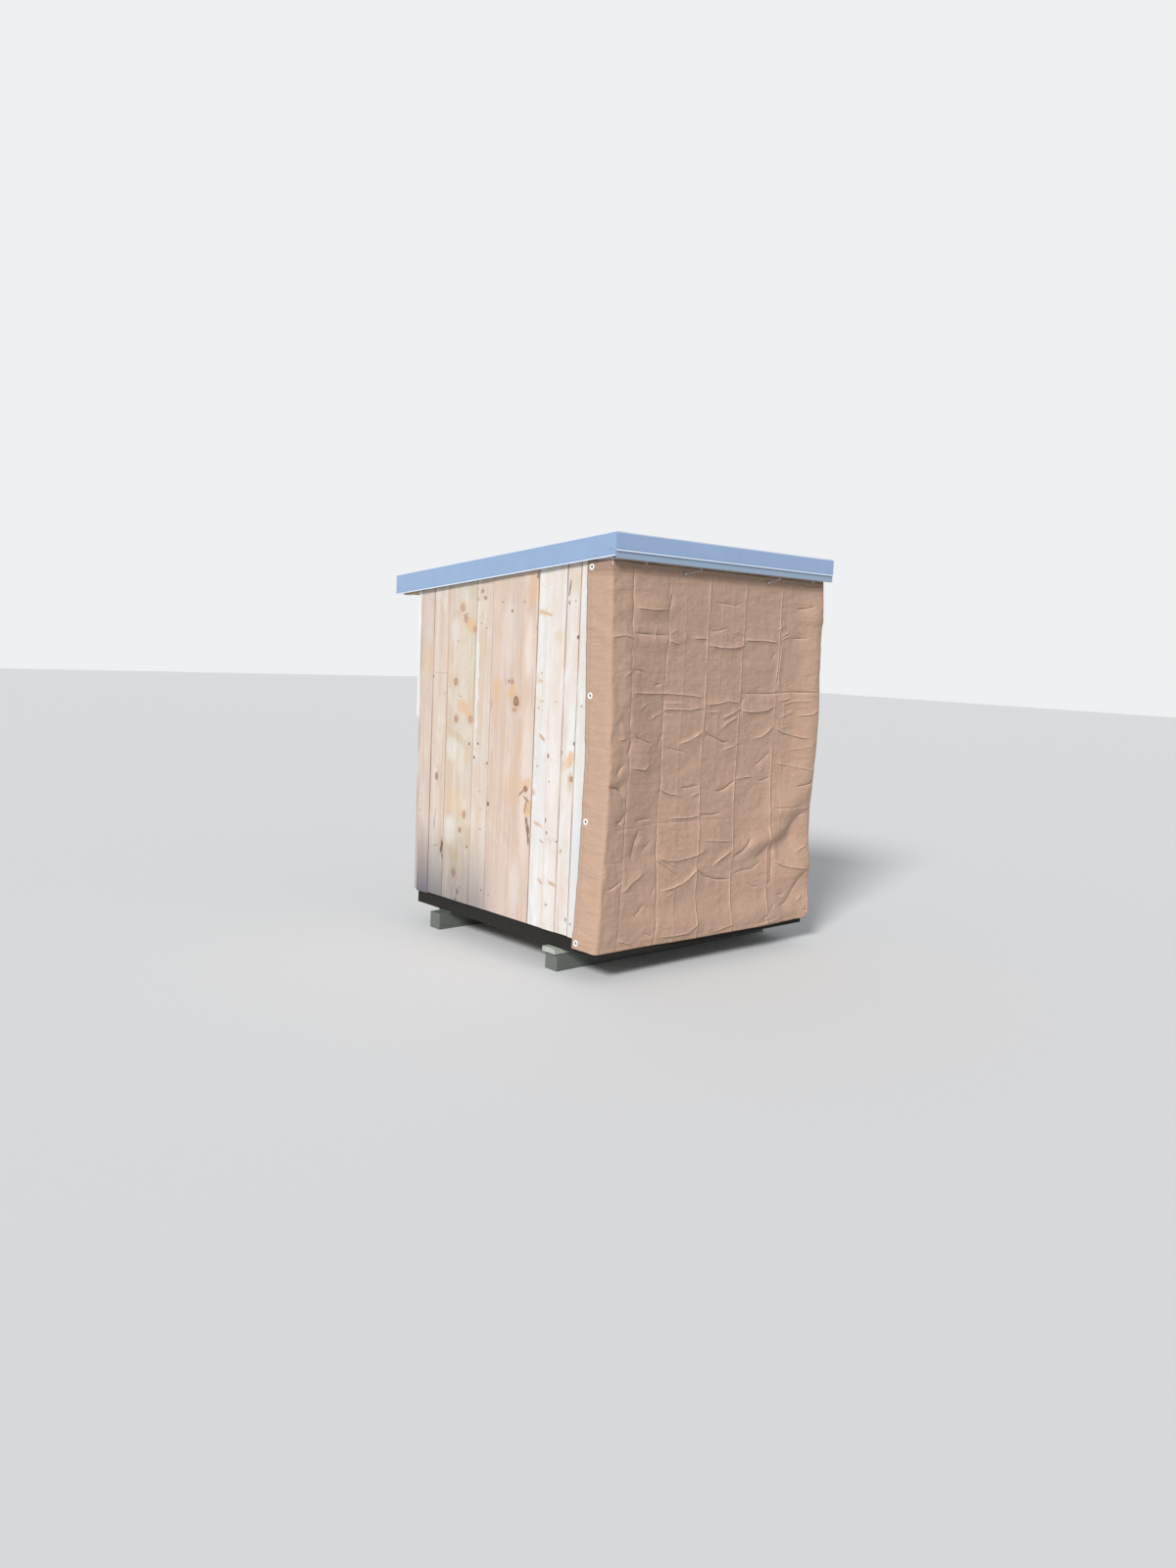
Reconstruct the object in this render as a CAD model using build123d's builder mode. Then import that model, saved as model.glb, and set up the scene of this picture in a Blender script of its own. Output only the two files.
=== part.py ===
"""Small lean-to firewood shed with a canvas front.

Millimetres, +Z up, front towards -Y. The origin is on the ground, under the middle
of the whole outline seen from above.
"""
from build123d import *
from math import atan, cos, sin, tan
import os

# Frame, floor and supports
frame_width = 1524.0
frame_depth = 1524.0
stud_thickness = 38.0
stud_depth = 89.0
post_side = 89.0
sleeper_side = 89.0
front_sleeper_setback = 275.0
rear_sleeper_setback = 155.0
packing_thickness = 25.0
packing_width = 95.0
front_packing_reach = 20.0
rear_packing_inset = 60.0
joist_depth = 140.0
inner_joist_count = 3
floor_thickness = 19.0
girt_height = 1010.0

# Walls
board_thickness = 19.0
board_lap = 63.0
batten_width = 45.0
batten_thickness = 22.0
batten_height = 1165.0

# Roof
front_clear_height = 1724.0
roof_drop = 140.0
inner_rafter_count = 3
deck_thickness = 16.0
front_tail = 19.0
back_tail = 222.0
fascia_thickness = 19.0
front_fascia_depth = 112.0
back_fascia_depth = 100.0
rake_board_depth = 98.0

# Folded sheet metal
sheet = 1.0
skin_gap = 0.3
flange = 60.0
front_drip_face = 78.0
rake_face = 104.0
back_drip_face = 55.0
kick_out = 6.0
kick_drop = 5.0
cover_top_lap = 22.0
corner_tab = 56.0
rake_return = 30.0
return_inset = 2.0
seam_width = 6.0
seam_height = 16.0
seam_setback = 110.0
seam_count = 3

# Canvas tarpaulin
tarp_thickness = 3.0
tarp_gap = 0.3
tarp_bend = 1.0
tarp_height = 1842.0
tarp_top_drop = 12.0
tarp_flap = 170.0
grommet_outer = 14.0
grommet_inner = 6.0
grommet_thickness = 1.5
grommet_inset = 30.0
grommet_rows = 4
grommet_columns = 4

# Places worked out from the sizes above
slope = atan(roof_drop / frame_depth)
fall = tan(slope)
lift = 1 / cos(slope)

half_frame = frame_width / 2
half_wall = half_frame + board_thickness
half_roof = half_wall + fascia_thickness
layer = sheet + skin_gap

front_reach = front_tail + fascia_thickness + 2 * layer + kick_out
back_reach = back_tail + fascia_thickness + layer + kick_out
total_depth = front_reach + frame_depth + back_reach
y_front = front_reach - total_depth / 2
y_back = y_front + frame_depth
y_front_fascia = y_front - front_tail
y_back_fascia = y_back + back_tail

z_packing = sleeper_side
z_joist = z_packing + packing_thickness
z_floor = z_joist + joist_depth
z_post = z_floor + floor_thickness
z_rafter_front = z_post + front_clear_height
z_board = z_floor - board_lap
z_tarp_top = z_rafter_front - tarp_top_drop
z_tarp_bottom = z_tarp_top - tarp_height


def rafter_line(y):
    """Height of the rafters' underside at a place along the depth."""
    return z_rafter_front - (y - y_front) * fall


def deck_line(y):
    """Height of the rafters' top, where the deck lies."""
    return rafter_line(y) + stud_depth * lift


def roof_line(y):
    """Height of the deck's top."""
    return deck_line(y) + deck_thickness * lift


def even_places(count, half_span):
    """Places of inner members, evenly spaced between two outer ones."""
    step = 2 * half_span / (count + 1)
    return [step * (n + 1) - half_span for n in range(count)]


pieces = {}


def lying_beam(x_low, x_high, y_low, y_high, z_low, z_high):
    """A straight timber with square edges, lying level."""
    with BuildPart() as beam:
        with BuildSketch(Plane.XY.offset(z_low)):
            with Locations(((x_low + x_high) / 2, (y_low + y_high) / 2)):
                Rectangle(x_high - x_low, y_high - y_low)
        extrude(amount=z_high - z_low)
    return beam


def side_profile(outline, x_low, x_high):
    """A piece drawn from the side as (depth, height) corners, and given its width."""
    with BuildPart() as piece:
        with BuildSketch(Plane.YZ.offset(x_low)):
            with BuildLine():
                Polyline(*outline, close=True)
            make_face()
        extrude(amount=x_high - x_low)
    return piece


def folded_along_x(fold_line, x_low, x_high):
    """Sheet metal folded along a line of (depth, height) points, running across."""
    with BuildPart() as piece:
        with BuildSketch(Plane.YZ.offset(x_low)):
            with BuildLine():
                Polyline(*fold_line)
                offset(amount=sheet, side=Side.LEFT)
            make_face()
        extrude(amount=x_high - x_low)
    return piece


# Sleepers and packing planks
front_sleeper_y = y_front + front_sleeper_setback
rear_sleeper_y = y_back - rear_sleeper_setback - sleeper_side
for name, y_low in (("front_sleeper", front_sleeper_y), ("rear_sleeper", rear_sleeper_y)):
    pieces[name] = lying_beam(-half_wall, half_wall, y_low, y_low + sleeper_side, 0, sleeper_side)

packing_halves = (
    ("front_packing_plank", front_sleeper_y, half_wall + front_packing_reach),
    ("rear_packing_plank", rear_sleeper_y, half_wall - rear_packing_inset),
)
for name, sleeper_y, half in packing_halves:
    y_middle = sleeper_y + sleeper_side / 2
    pieces[name] = lying_beam(
        -half, half, y_middle - packing_width / 2, y_middle + packing_width / 2, z_packing, z_joist
    )

# Floor frame
rim_places = (("front_rim_joist", y_front), ("back_rim_joist", y_back - stud_thickness))
for name, y_low in rim_places:
    pieces[name] = lying_beam(
        -half_frame, half_frame, y_low, y_low + stud_thickness, z_joist, z_floor
    )

joist_front = y_front + stud_thickness
joist_back = y_back - stud_thickness
side_joist_places = (("left_side_joist", -half_frame), ("right_side_joist", half_frame - stud_thickness))
for name, x_low in side_joist_places:
    pieces[name] = lying_beam(x_low, x_low + stud_thickness, joist_front, joist_back, z_joist, z_floor)

inner_half_span = half_frame - stud_thickness / 2
with BuildPart() as floor_joists:
    with BuildSketch(Plane.XY.offset(z_joist)):
        for x in even_places(inner_joist_count, inner_half_span):
            with Locations((x, (joist_front + joist_back) / 2)):
                Rectangle(stud_thickness, joist_back - joist_front)
    extrude(amount=joist_depth)
pieces["floor_joists"] = floor_joists

pieces["floor_deck"] = lying_beam(-half_frame, half_frame, y_front, y_back, z_floor, z_post)

# Corner posts, each up to the underside of its header
z_front_header = z_rafter_front - post_side
z_back_header = rafter_line(y_back) - post_side
post_rows = (("front", y_front, z_front_header), ("back", y_back - post_side, z_back_header))
post_columns = (("left", -half_frame), ("right", half_frame - post_side))
for row, y_low, z_top in post_rows:
    for column, x_low in post_columns:
        pieces[f"{row}_{column}_post"] = lying_beam(
            x_low, x_low + post_side, y_low, y_low + post_side, z_post, z_top
        )

# Headers across the front and back, bevelled on top to the roof's fall
header_rows = (("front_header", y_front, z_front_header), ("back_header", y_back - post_side, z_back_header))
for name, y_low, z_low in header_rows:
    y_high = y_low + post_side
    outline = [(y_low, z_low), (y_high, z_low), (y_high, rafter_line(y_high)), (y_low, rafter_line(y_low))]
    pieces[name] = side_profile(outline, -half_frame, half_frame)

# Top rails under the outer rafters, and girts half way up
rail_front = y_front + post_side
rail_back = y_back - post_side
rail_drop = stud_depth * lift
rail_outline = [
    (rail_front, rafter_line(rail_front) - rail_drop),
    (rail_back, rafter_line(rail_back) - rail_drop),
    (rail_back, rafter_line(rail_back)),
    (rail_front, rafter_line(rail_front)),
]
for column, x_low in (("left", -half_frame), ("right", half_frame - stud_thickness)):
    x_high = x_low + stud_thickness
    pieces[f"{column}_top_rail"] = side_profile(rail_outline, x_low, x_high)
    pieces[f"{column}_girt"] = lying_beam(
        x_low, x_high, rail_front, rail_back, girt_height, girt_height + stud_depth
    )
back_girt_half = half_frame - post_side
pieces["back_girt"] = lying_beam(
    -back_girt_half, back_girt_half, y_back - stud_thickness, y_back, girt_height, girt_height + stud_depth
)

# Rafters with plumb-cut tails, the outer two flush with the frame's sides
rafter_outline = [
    (y_front_fascia, rafter_line(y_front_fascia)),
    (y_back_fascia, rafter_line(y_back_fascia)),
    (y_back_fascia, deck_line(y_back_fascia)),
    (y_front_fascia, deck_line(y_front_fascia)),
]
for column, x_low in (("left", -half_frame), ("right", half_frame - stud_thickness)):
    pieces[f"{column}_rafter"] = side_profile(rafter_outline, x_low, x_low + stud_thickness)

with BuildPart() as inner_rafters:
    for x in even_places(inner_rafter_count, inner_half_span):
        with BuildSketch(Plane.YZ.offset(x - stud_thickness / 2)):
            with BuildLine():
                Polyline(*rafter_outline, close=True)
            make_face()
        extrude(amount=stud_thickness)
pieces["inner_rafters"] = inner_rafters

# Roof deck over the rafters and the side walls
deck_outline = [
    (y_front_fascia, deck_line(y_front_fascia)),
    (y_back_fascia, deck_line(y_back_fascia)),
    (y_back_fascia, roof_line(y_back_fascia)),
    (y_front_fascia, roof_line(y_front_fascia)),
]
pieces["roof_deck"] = side_profile(deck_outline, -half_wall, half_wall)

# Fascia boards on the rafter tails, their tops bevelled with the deck
y_front_face = y_front_fascia - fascia_thickness
z_front_fascia = roof_line(y_front_fascia) - front_fascia_depth
front_fascia_outline = [
    (y_front_face, z_front_fascia),
    (y_front_fascia, z_front_fascia),
    (y_front_fascia, roof_line(y_front_fascia)),
    (y_front_face, roof_line(y_front_face)),
]
pieces["front_fascia_board"] = side_profile(front_fascia_outline, -half_roof, half_roof)

y_back_face = y_back_fascia + fascia_thickness
z_back_fascia = roof_line(y_back_fascia) - back_fascia_depth
back_fascia_outline = [
    (y_back_fascia, z_back_fascia),
    (y_back_face, z_back_fascia),
    (y_back_face, roof_line(y_back_face)),
    (y_back_fascia, roof_line(y_back_fascia)),
]
pieces["back_fascia_board"] = side_profile(back_fascia_outline, -half_roof, half_roof)

# Rake boards over the tops of the side walls
rake_outline = [
    (y_front_fascia, roof_line(y_front_fascia) - rake_board_depth * lift),
    (y_back_fascia, roof_line(y_back_fascia) - rake_board_depth * lift),
    (y_back_fascia, roof_line(y_back_fascia)),
    (y_front_fascia, roof_line(y_front_fascia)),
]
pieces["left_rake_board"] = side_profile(rake_outline, -half_roof, -half_wall)
pieces["right_rake_board"] = side_profile(rake_outline, half_wall, half_roof)

# Walls: boards outside the frame, the back wall over the side walls' ends
side_wall_outline = [
    (y_front, z_board),
    (y_back, z_board),
    (y_back, deck_line(y_back)),
    (y_front, deck_line(y_front)),
]
pieces["left_wall"] = side_profile(side_wall_outline, -half_wall, -half_frame)
pieces["right_wall"] = side_profile(side_wall_outline, half_frame, half_wall)

y_back_wall = y_back + board_thickness
back_wall_outline = [
    (y_back, z_board),
    (y_back_wall, z_board),
    (y_back_wall, rafter_line(y_back_wall)),
    (y_back, rafter_line(y_back)),
]
pieces["back_wall"] = side_profile(back_wall_outline, -half_wall, half_wall)

# Battens on the upper half of the back wall, flush with its two side edges
y_batten = y_back_wall + batten_thickness
batten_outline = [
    (y_back_wall, batten_height),
    (y_batten, batten_height),
    (y_batten, rafter_line(y_batten)),
    (y_back_wall, rafter_line(y_back_wall)),
]
with BuildPart() as back_corner_battens:
    for x_low in (-half_wall, half_wall - batten_width):
        with BuildSketch(Plane.YZ.offset(x_low)):
            with BuildLine():
                Polyline(*batten_outline, close=True)
            make_face()
        extrude(amount=batten_width)
pieces["back_corner_battens"] = back_corner_battens

# Layers of metal on the deck: drip edges, then the roof sheet, then the rake trims
def layer_line(y, number):
    """Height of the underside of a layer of metal, counted from the deck."""
    return roof_line(y) + (skin_gap + number * layer) * lift


# Roof sheet with standing seams that run down the fall and stop short of the front edge
sheet_run = (y_back_face - y_front_face) * lift
seam_start = y_front_face + seam_setback
seam_run = (y_back_face - seam_start) * lift
down_fall = (0, cos(slope), -sin(slope))
with BuildPart() as roof_sheet:
    with BuildSketch(Plane.XZ.offset(-y_front_face)):
        with Locations((0, layer_line(y_front_face, 1) + sheet * lift / 2)):
            Rectangle(2 * half_roof, sheet * lift)
    extrude(amount=sheet_run, dir=down_fall)
    with BuildSketch(Plane.XZ.offset(-seam_start)):
        for x in even_places(seam_count, half_roof):
            with Locations((x, layer_line(seam_start, 1) + (sheet * lift + seam_height) / 2)):
                Rectangle(seam_width, sheet * lift + seam_height)
    extrude(amount=seam_run, dir=down_fall)
pieces["roof_sheet"] = roof_sheet

# Rake trims down both sides: a flange on the sheet, a plumb face over the rake board, a
# kicked-out hem, and a return folded round the end of the back fascia board
y_rake_end = y_back_face + 2 * layer
rake_top = layer_line(y_front_face, 2)
rake_low = rake_top - rake_face
rake_x = half_roof + skin_gap
z_return = layer_line(y_rake_end, 2) - rake_face / 2
for column, way, metal_side in (("left", -1, Side.RIGHT), ("right", 1, Side.LEFT)):
    rake_line = [
        (way * (half_roof - flange), rake_top),
        (way * rake_x, rake_top),
        (way * rake_x, rake_low),
        (way * (rake_x + kick_out), rake_low - kick_drop),
    ]
    with BuildPart() as rake_trim:
        with BuildSketch(Plane.XZ.offset(-y_front_face)):
            with BuildLine():
                Polyline(*rake_line)
                offset(amount=sheet, side=metal_side)
            make_face()
        extrude(amount=(y_rake_end - y_front_face) * lift, dir=down_fall)
        with BuildSketch(Plane.XZ.offset(-y_rake_end)):
            with Locations((way * (rake_x + sheet / 2 - rake_return / 2), z_return)):
                Rectangle(rake_return, rake_face - 2 * return_inset)
        extrude(amount=sheet)
    pieces[f"{column}_rake_trim"] = rake_trim

# Front drip edge: a flange under the roof sheet, a plumb face with a kicked-out hem, and
# at each end a tab folded round the corner over the rake trim
y_drip = y_front_face - layer - skin_gap
z_drip_top = layer_line(y_drip, 0)
z_drip_hem = z_drip_top - front_drip_face
front_drip_line = [
    (y_drip - kick_out, z_drip_hem - kick_drop),
    (y_drip, z_drip_hem),
    (y_drip, z_drip_top),
    (y_front_face + flange, layer_line(y_front_face + flange, 0)),
]
tab_x = rake_x + layer
tab_back = y_front_face + corner_tab
tab_outline = [
    (y_drip - sheet, z_drip_hem),
    (tab_back, z_drip_hem - (tab_back - y_drip) * fall),
    (tab_back, layer_line(tab_back, 2)),
    (y_drip - sheet, layer_line(y_drip - sheet, 0)),
]
with BuildPart() as front_drip_edge:
    with BuildSketch(Plane.YZ.offset(-tab_x - sheet)):
        with BuildLine():
            Polyline(*front_drip_line)
            offset(amount=sheet, side=Side.LEFT)
        make_face()
    extrude(amount=2 * (tab_x + sheet))
    with BuildSketch(Plane.XZ.offset(-y_front_face + skin_gap)):
        for way in (-1, 1):
            with Locations((way * (half_roof + flange), z_drip_top)):
                Rectangle(2 * flange, 2 * flange)
    extrude(amount=-2 * flange, mode=Mode.SUBTRACT)
    for way in (-1, 1):
        with BuildSketch(Plane.YZ.offset(way * tab_x)):
            with BuildLine():
                Polyline(*tab_outline, close=True)
            make_face()
        extrude(amount=way * sheet)
pieces["front_drip_edge"] = front_drip_edge

# Narrow cover below it, folded under the fascia board
y_cover = y_front_face - skin_gap
z_cover = z_front_fascia - skin_gap
cover_line = [
    (y_front_fascia, z_cover),
    (y_cover, z_cover),
    (y_cover, z_drip_hem + cover_top_lap),
]
pieces["front_fascia_cover"] = folded_along_x(cover_line, -half_roof, half_roof)

# Back drip edge, under the roof sheet
y_back_drip = y_back_face + skin_gap
z_back_drip = layer_line(y_back_drip, 0)
z_back_hem = z_back_drip - back_drip_face
y_back_flange = y_back_face - flange
back_drip_line = [
    (y_back_flange, layer_line(y_back_flange, 0)),
    (y_back_drip, z_back_drip),
    (y_back_drip, z_back_hem),
    (y_back_drip + kick_out, z_back_hem - kick_drop),
]
back_drip_half = rake_x + sheet / 2 - rake_return - skin_gap
pieces["back_drip_edge"] = folded_along_x(back_drip_line, -back_drip_half, back_drip_half)

# Tarpaulin: one sheet across the front, round both corners and back along the walls
tarp_inner_x = half_wall + tarp_gap
tarp_inner_y = y_front - tarp_gap
tarp_outer_x = tarp_inner_x + tarp_thickness
tarp_outer_y = tarp_inner_y - tarp_thickness
flap_end = tarp_outer_y + tarp_flap
with BuildPart() as front_tarp:
    with BuildSketch(Plane.XY.offset(z_tarp_bottom)):
        with BuildLine():
            FilletPolyline(
                (-tarp_inner_x, flap_end),
                (-tarp_inner_x, tarp_inner_y),
                (tarp_inner_x, tarp_inner_y),
                (tarp_inner_x, flap_end),
                radius=tarp_bend,
            )
            offset(amount=tarp_thickness, side=Side.RIGHT)
        make_face()
    extrude(amount=tarp_height)
pieces["front_tarp"] = front_tarp

# Grommets down the side edges and along the top of the tarpaulin, evenly spaced on its flat cut
cut_half = tarp_outer_x + tarp_flap
column_step = 2 * (cut_half - grommet_inset) / (grommet_columns - 1)
row_step = (tarp_height - 2 * grommet_inset) / (grommet_rows - 1)
row_heights = [z_tarp_bottom + grommet_inset + row_step * n for n in range(grommet_rows)]
front_columns = [column_step * n - cut_half + grommet_inset for n in range(1, grommet_columns - 1)]
flap_column_y = flap_end - grommet_inset
with BuildPart() as tarp_grommets:
    for way in (-1, 1):
        with BuildSketch(Plane.YZ.offset(way * (tarp_outer_x + tarp_gap))):
            for z in row_heights:
                with Locations((flap_column_y, z)):
                    Circle(grommet_outer)
                    Circle(grommet_inner, mode=Mode.SUBTRACT)
        extrude(amount=way * grommet_thickness)
    with BuildSketch(Plane.XZ.offset(tarp_gap - tarp_outer_y)):
        for x in front_columns:
            with Locations((x, row_heights[-1])):
                Circle(grommet_outer)
                Circle(grommet_inner, mode=Mode.SUBTRACT)
    extrude(amount=grommet_thickness)
pieces["tarp_grommets"] = tarp_grommets

os.makedirs("parts", exist_ok=True)
for name, piece in pieces.items():
    piece.part.label = name
    export_step(piece.part, f"parts/{name}.step")
print(len(pieces), "pieces")
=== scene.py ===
"""Looks of a small lean-to log store: boarded walls, a metal-edged roof and a canvas front.

Everything is in metres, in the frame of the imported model: X to the right along the front,
Y to the back, Z up from the ground.
"""

import math

import bpy
import numpy as np
from mathutils import Matrix, Vector


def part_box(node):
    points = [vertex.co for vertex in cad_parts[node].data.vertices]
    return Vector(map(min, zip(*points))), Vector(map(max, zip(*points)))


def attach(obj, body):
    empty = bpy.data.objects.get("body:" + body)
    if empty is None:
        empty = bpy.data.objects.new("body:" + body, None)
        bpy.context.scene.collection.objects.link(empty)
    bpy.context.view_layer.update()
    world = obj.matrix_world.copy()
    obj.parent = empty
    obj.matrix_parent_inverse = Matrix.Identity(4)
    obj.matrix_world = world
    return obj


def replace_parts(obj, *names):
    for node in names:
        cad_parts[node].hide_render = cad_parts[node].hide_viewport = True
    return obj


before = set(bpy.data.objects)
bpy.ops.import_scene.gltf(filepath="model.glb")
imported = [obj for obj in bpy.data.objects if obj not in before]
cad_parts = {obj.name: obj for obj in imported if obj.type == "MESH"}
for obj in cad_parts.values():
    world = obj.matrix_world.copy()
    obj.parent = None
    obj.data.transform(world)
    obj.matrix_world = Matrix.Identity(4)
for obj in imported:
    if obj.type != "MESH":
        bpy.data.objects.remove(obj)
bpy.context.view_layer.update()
scene = bpy.context.scene
scene.view_settings.view_transform = "Standard"
MM = 0.001


# Camera and light


def add_camera():
    """The photograph's view: a wide lens at eye height, off the front left corner."""
    data = bpy.data.cameras.new("camera")
    data.lens = 27.09
    data.sensor_width = 36.0
    data.clip_start, data.clip_end = 0.1, 200.0
    camera = bpy.data.objects.new("camera", data)
    right = (0.74582, -0.66477, 0.04280)
    up = (0.04417, 0.11345, 0.99256)
    back = (-0.66468, -0.73838, 0.11398)
    place = (-4.4712, -4.8581, 1.5798)
    rows = [[right[k], up[k], back[k], place[k]] for k in range(3)] + [[0, 0, 0, 1]]
    camera.matrix_world = Matrix(rows)
    scene.collection.objects.link(camera)
    scene.camera = camera


def add_sun():
    """A wide soft sun from the upper left."""
    data = bpy.data.lights.new("soft_key", "SUN")
    data.energy = 3.1
    data.angle = math.radians(14)
    data.color = (1.0, 0.985, 0.965)
    key = bpy.data.objects.new("soft_key", data)
    towards = (-0.76, -0.38, 0.52)
    key.rotation_mode = "QUATERNION"
    key.rotation_quaternion = Vector(towards).to_track_quat("Z", "Y")
    scene.collection.objects.link(key)


def add_sky():
    """An even sky. The camera and mirror-like surfaces see a plain grey one in its place."""
    world = bpy.data.worlds.new("studio")
    world.use_nodes = True
    tree = world.node_tree
    tree.nodes.clear()

    def background(colour, strength):
        made = tree.nodes.new("ShaderNodeBackground")
        made.inputs[0].default_value = (*colour, 1)
        made.inputs[1].default_value = strength
        return made.outputs[0]

    path = tree.nodes.new("ShaderNodeLightPath")
    direct = path.outputs["Is Camera Ray"]
    for ray in ("Is Transmission Ray", "Is Glossy Ray"):
        either = tree.nodes.new("ShaderNodeMath")
        either.operation = "MAXIMUM"
        tree.links.new(direct, either.inputs[0])
        tree.links.new(path.outputs[ray], either.inputs[1])
        direct = either.outputs[0]
    mix = tree.nodes.new("ShaderNodeMixShader")
    sky, seen = background((0.93, 0.96, 1.0), 0.42), background((0.86, 0.87, 0.88), 1.0)
    for socket, source in zip(mix.inputs, (direct, sky, seen)):
        tree.links.new(source, socket)
    tree.links.new(mix.outputs[0], tree.nodes.new("ShaderNodeOutputWorld").inputs[0])
    scene.world = world


# Shader helpers


class Shader:
    """One procedural material, built with short calls. Most of them give a node's output."""

    def __init__(self, name, roughness=0.6, **sockets):
        self.material = bpy.data.materials.new(name)
        self.material.use_nodes = True
        self.tree = self.material.node_tree
        self.tree.nodes.clear()
        self.surface = self.tree.nodes.new("ShaderNodeBsdfPrincipled")
        out = self.tree.nodes.new("ShaderNodeOutputMaterial")
        self.tree.links.new(self.surface.outputs[0], out.inputs[0])
        self.surface.inputs["Roughness"].default_value = roughness
        for socket, value in sockets.items():
            self.surface.inputs[socket.replace("_", " ")].default_value = value
        self.coordinates = self.tree.nodes.new("ShaderNodeTexCoord")

    def feed(self, socket, value):
        if isinstance(value, bpy.types.NodeSocket):
            self.tree.links.new(value, socket)
        elif value is not None:
            if hasattr(socket.default_value, "__len__") and len(socket.default_value) == 4:
                value = tuple(value)[:3] + (1.0,)
            socket.default_value = value

    def node(self, kind, *values, **settings):
        """A node with its first sockets fed in order."""
        made = self.tree.nodes.new("ShaderNode" + kind)
        for key, value in settings.items():
            setattr(made, key, value)
        for socket, value in zip(made.inputs, values):
            self.feed(socket, value)
        return made

    def named(self, kind, **sockets):
        """A node with sockets fed by name."""
        made = self.node(kind)
        for socket, value in sockets.items():
            self.feed(made.inputs[socket], value)
        return made

    def math(self, operation, *values, clamp=False):
        return self.node("Math", *values, operation=operation, use_clamp=clamp).outputs[0]

    def times(self, first, *others, clamp=False):
        for other in others:
            first = self.math("MULTIPLY", first, other, clamp=clamp)
        return first

    def vector(self, operation, *values):
        made = self.node("VectorMath", *values, operation=operation)
        return made.outputs[1 if operation == "LENGTH" else 0]

    def scaled(self, where, factors):
        return self.vector("MULTIPLY", where, factors)

    def combine(self, x=0.0, y=0.0, z=0.0):
        return self.node("CombineXYZ", x, y, z).outputs[0]

    def noise(self, where, scale, detail=3.0, roughness=0.55, part=0):
        made = self.named("TexNoise", Vector=where, Scale=scale, Detail=detail, Roughness=roughness)
        return made.outputs[part]

    def dots(self, where, scale):
        """Distance to the nearest of scattered dots."""
        return self.named("TexVoronoi", Vector=where, Scale=scale).outputs["Distance"]

    def span(self, value, low, high, to_low=0.0, to_high=1.0, smooth=True):
        kind = "SMOOTHSTEP" if smooth else "LINEAR"
        made = self.node("MapRange", value, low, high, to_low, to_high, interpolation_type=kind, clamp=True)
        return made.outputs[0]

    def mix(self, factor, first, second):
        """A mix of two colours."""
        made = self.node("Mix", data_type="RGBA")
        for place, value in ((0, factor), (6, first), (7, second)):
            self.feed(made.inputs[place], value)
        return made.outputs[2]

    def blend(self, factor, first, second):
        """A mix of two numbers."""
        made = self.node("Mix")
        for place, value in ((0, factor), (2, first), (3, second)):
            self.feed(made.inputs[place], value)
        return made.outputs[0]

    def layers(self, base, *rows):
        """base with tints over it. Each row is how much of it a tint covers, and the tint."""
        for cover, tint in rows:
            base = self.mix(cover, base, tint)
        return base

    def bump(self, height, distance, strength=1.0, normal=None):
        made = self.named("Bump", Strength=strength, Distance=distance, Height=height, Normal=normal)
        return made.outputs[0]

    def finish(self, colour=None, roughness=None, normal=None):
        self.feed(self.surface.inputs["Base Color"], colour)
        self.feed(self.surface.inputs["Roughness"], roughness)
        self.feed(self.surface.inputs["Normal"], normal)
        return self.material


def shade(colour, *factors):
    """A colour times one factor, or times one for each channel."""
    if len(factors) == 1:
        factors = factors * 3
    return tuple(c * f for c, f in zip(colour, factors))


# Materials

LARGE_KNOT = 0.0105


def spot(s, where, across, along, wide, high, turn):
    """Distance from a spot's middle, 1 at its edge."""
    size = (wide, high, 1)
    made = s.node("Mapping", where, (across, along, 0), (0, 0, turn), size, vector_type="TEXTURE")
    return s.vector("LENGTH", made.outputs[0])


def nearest_knot(s, flat, knots):
    """Distance from the nearest knot's middle, how dark that knot is, and how much of the
    glow round it shows: all of it if its half width is over LARGE_KNOT."""
    near, dark, glow = None, None, None
    for *shape, darkness in knots:
        far = spot(s, flat, *shape)
        large = 1.0 if shape[2] > LARGE_KNOT else 0.15
        if near is None:
            near, dark, glow = far, s.math("ADD", darkness, 0.0), s.math("ADD", large, 0.0)
        else:
            nearer = s.math("LESS_THAN", far, near)
            dark, glow = s.blend(nearer, dark, darkness), s.blend(nearer, glow, large)
            near = s.math("MINIMUM", near, far)
    return near, dark, glow


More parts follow.
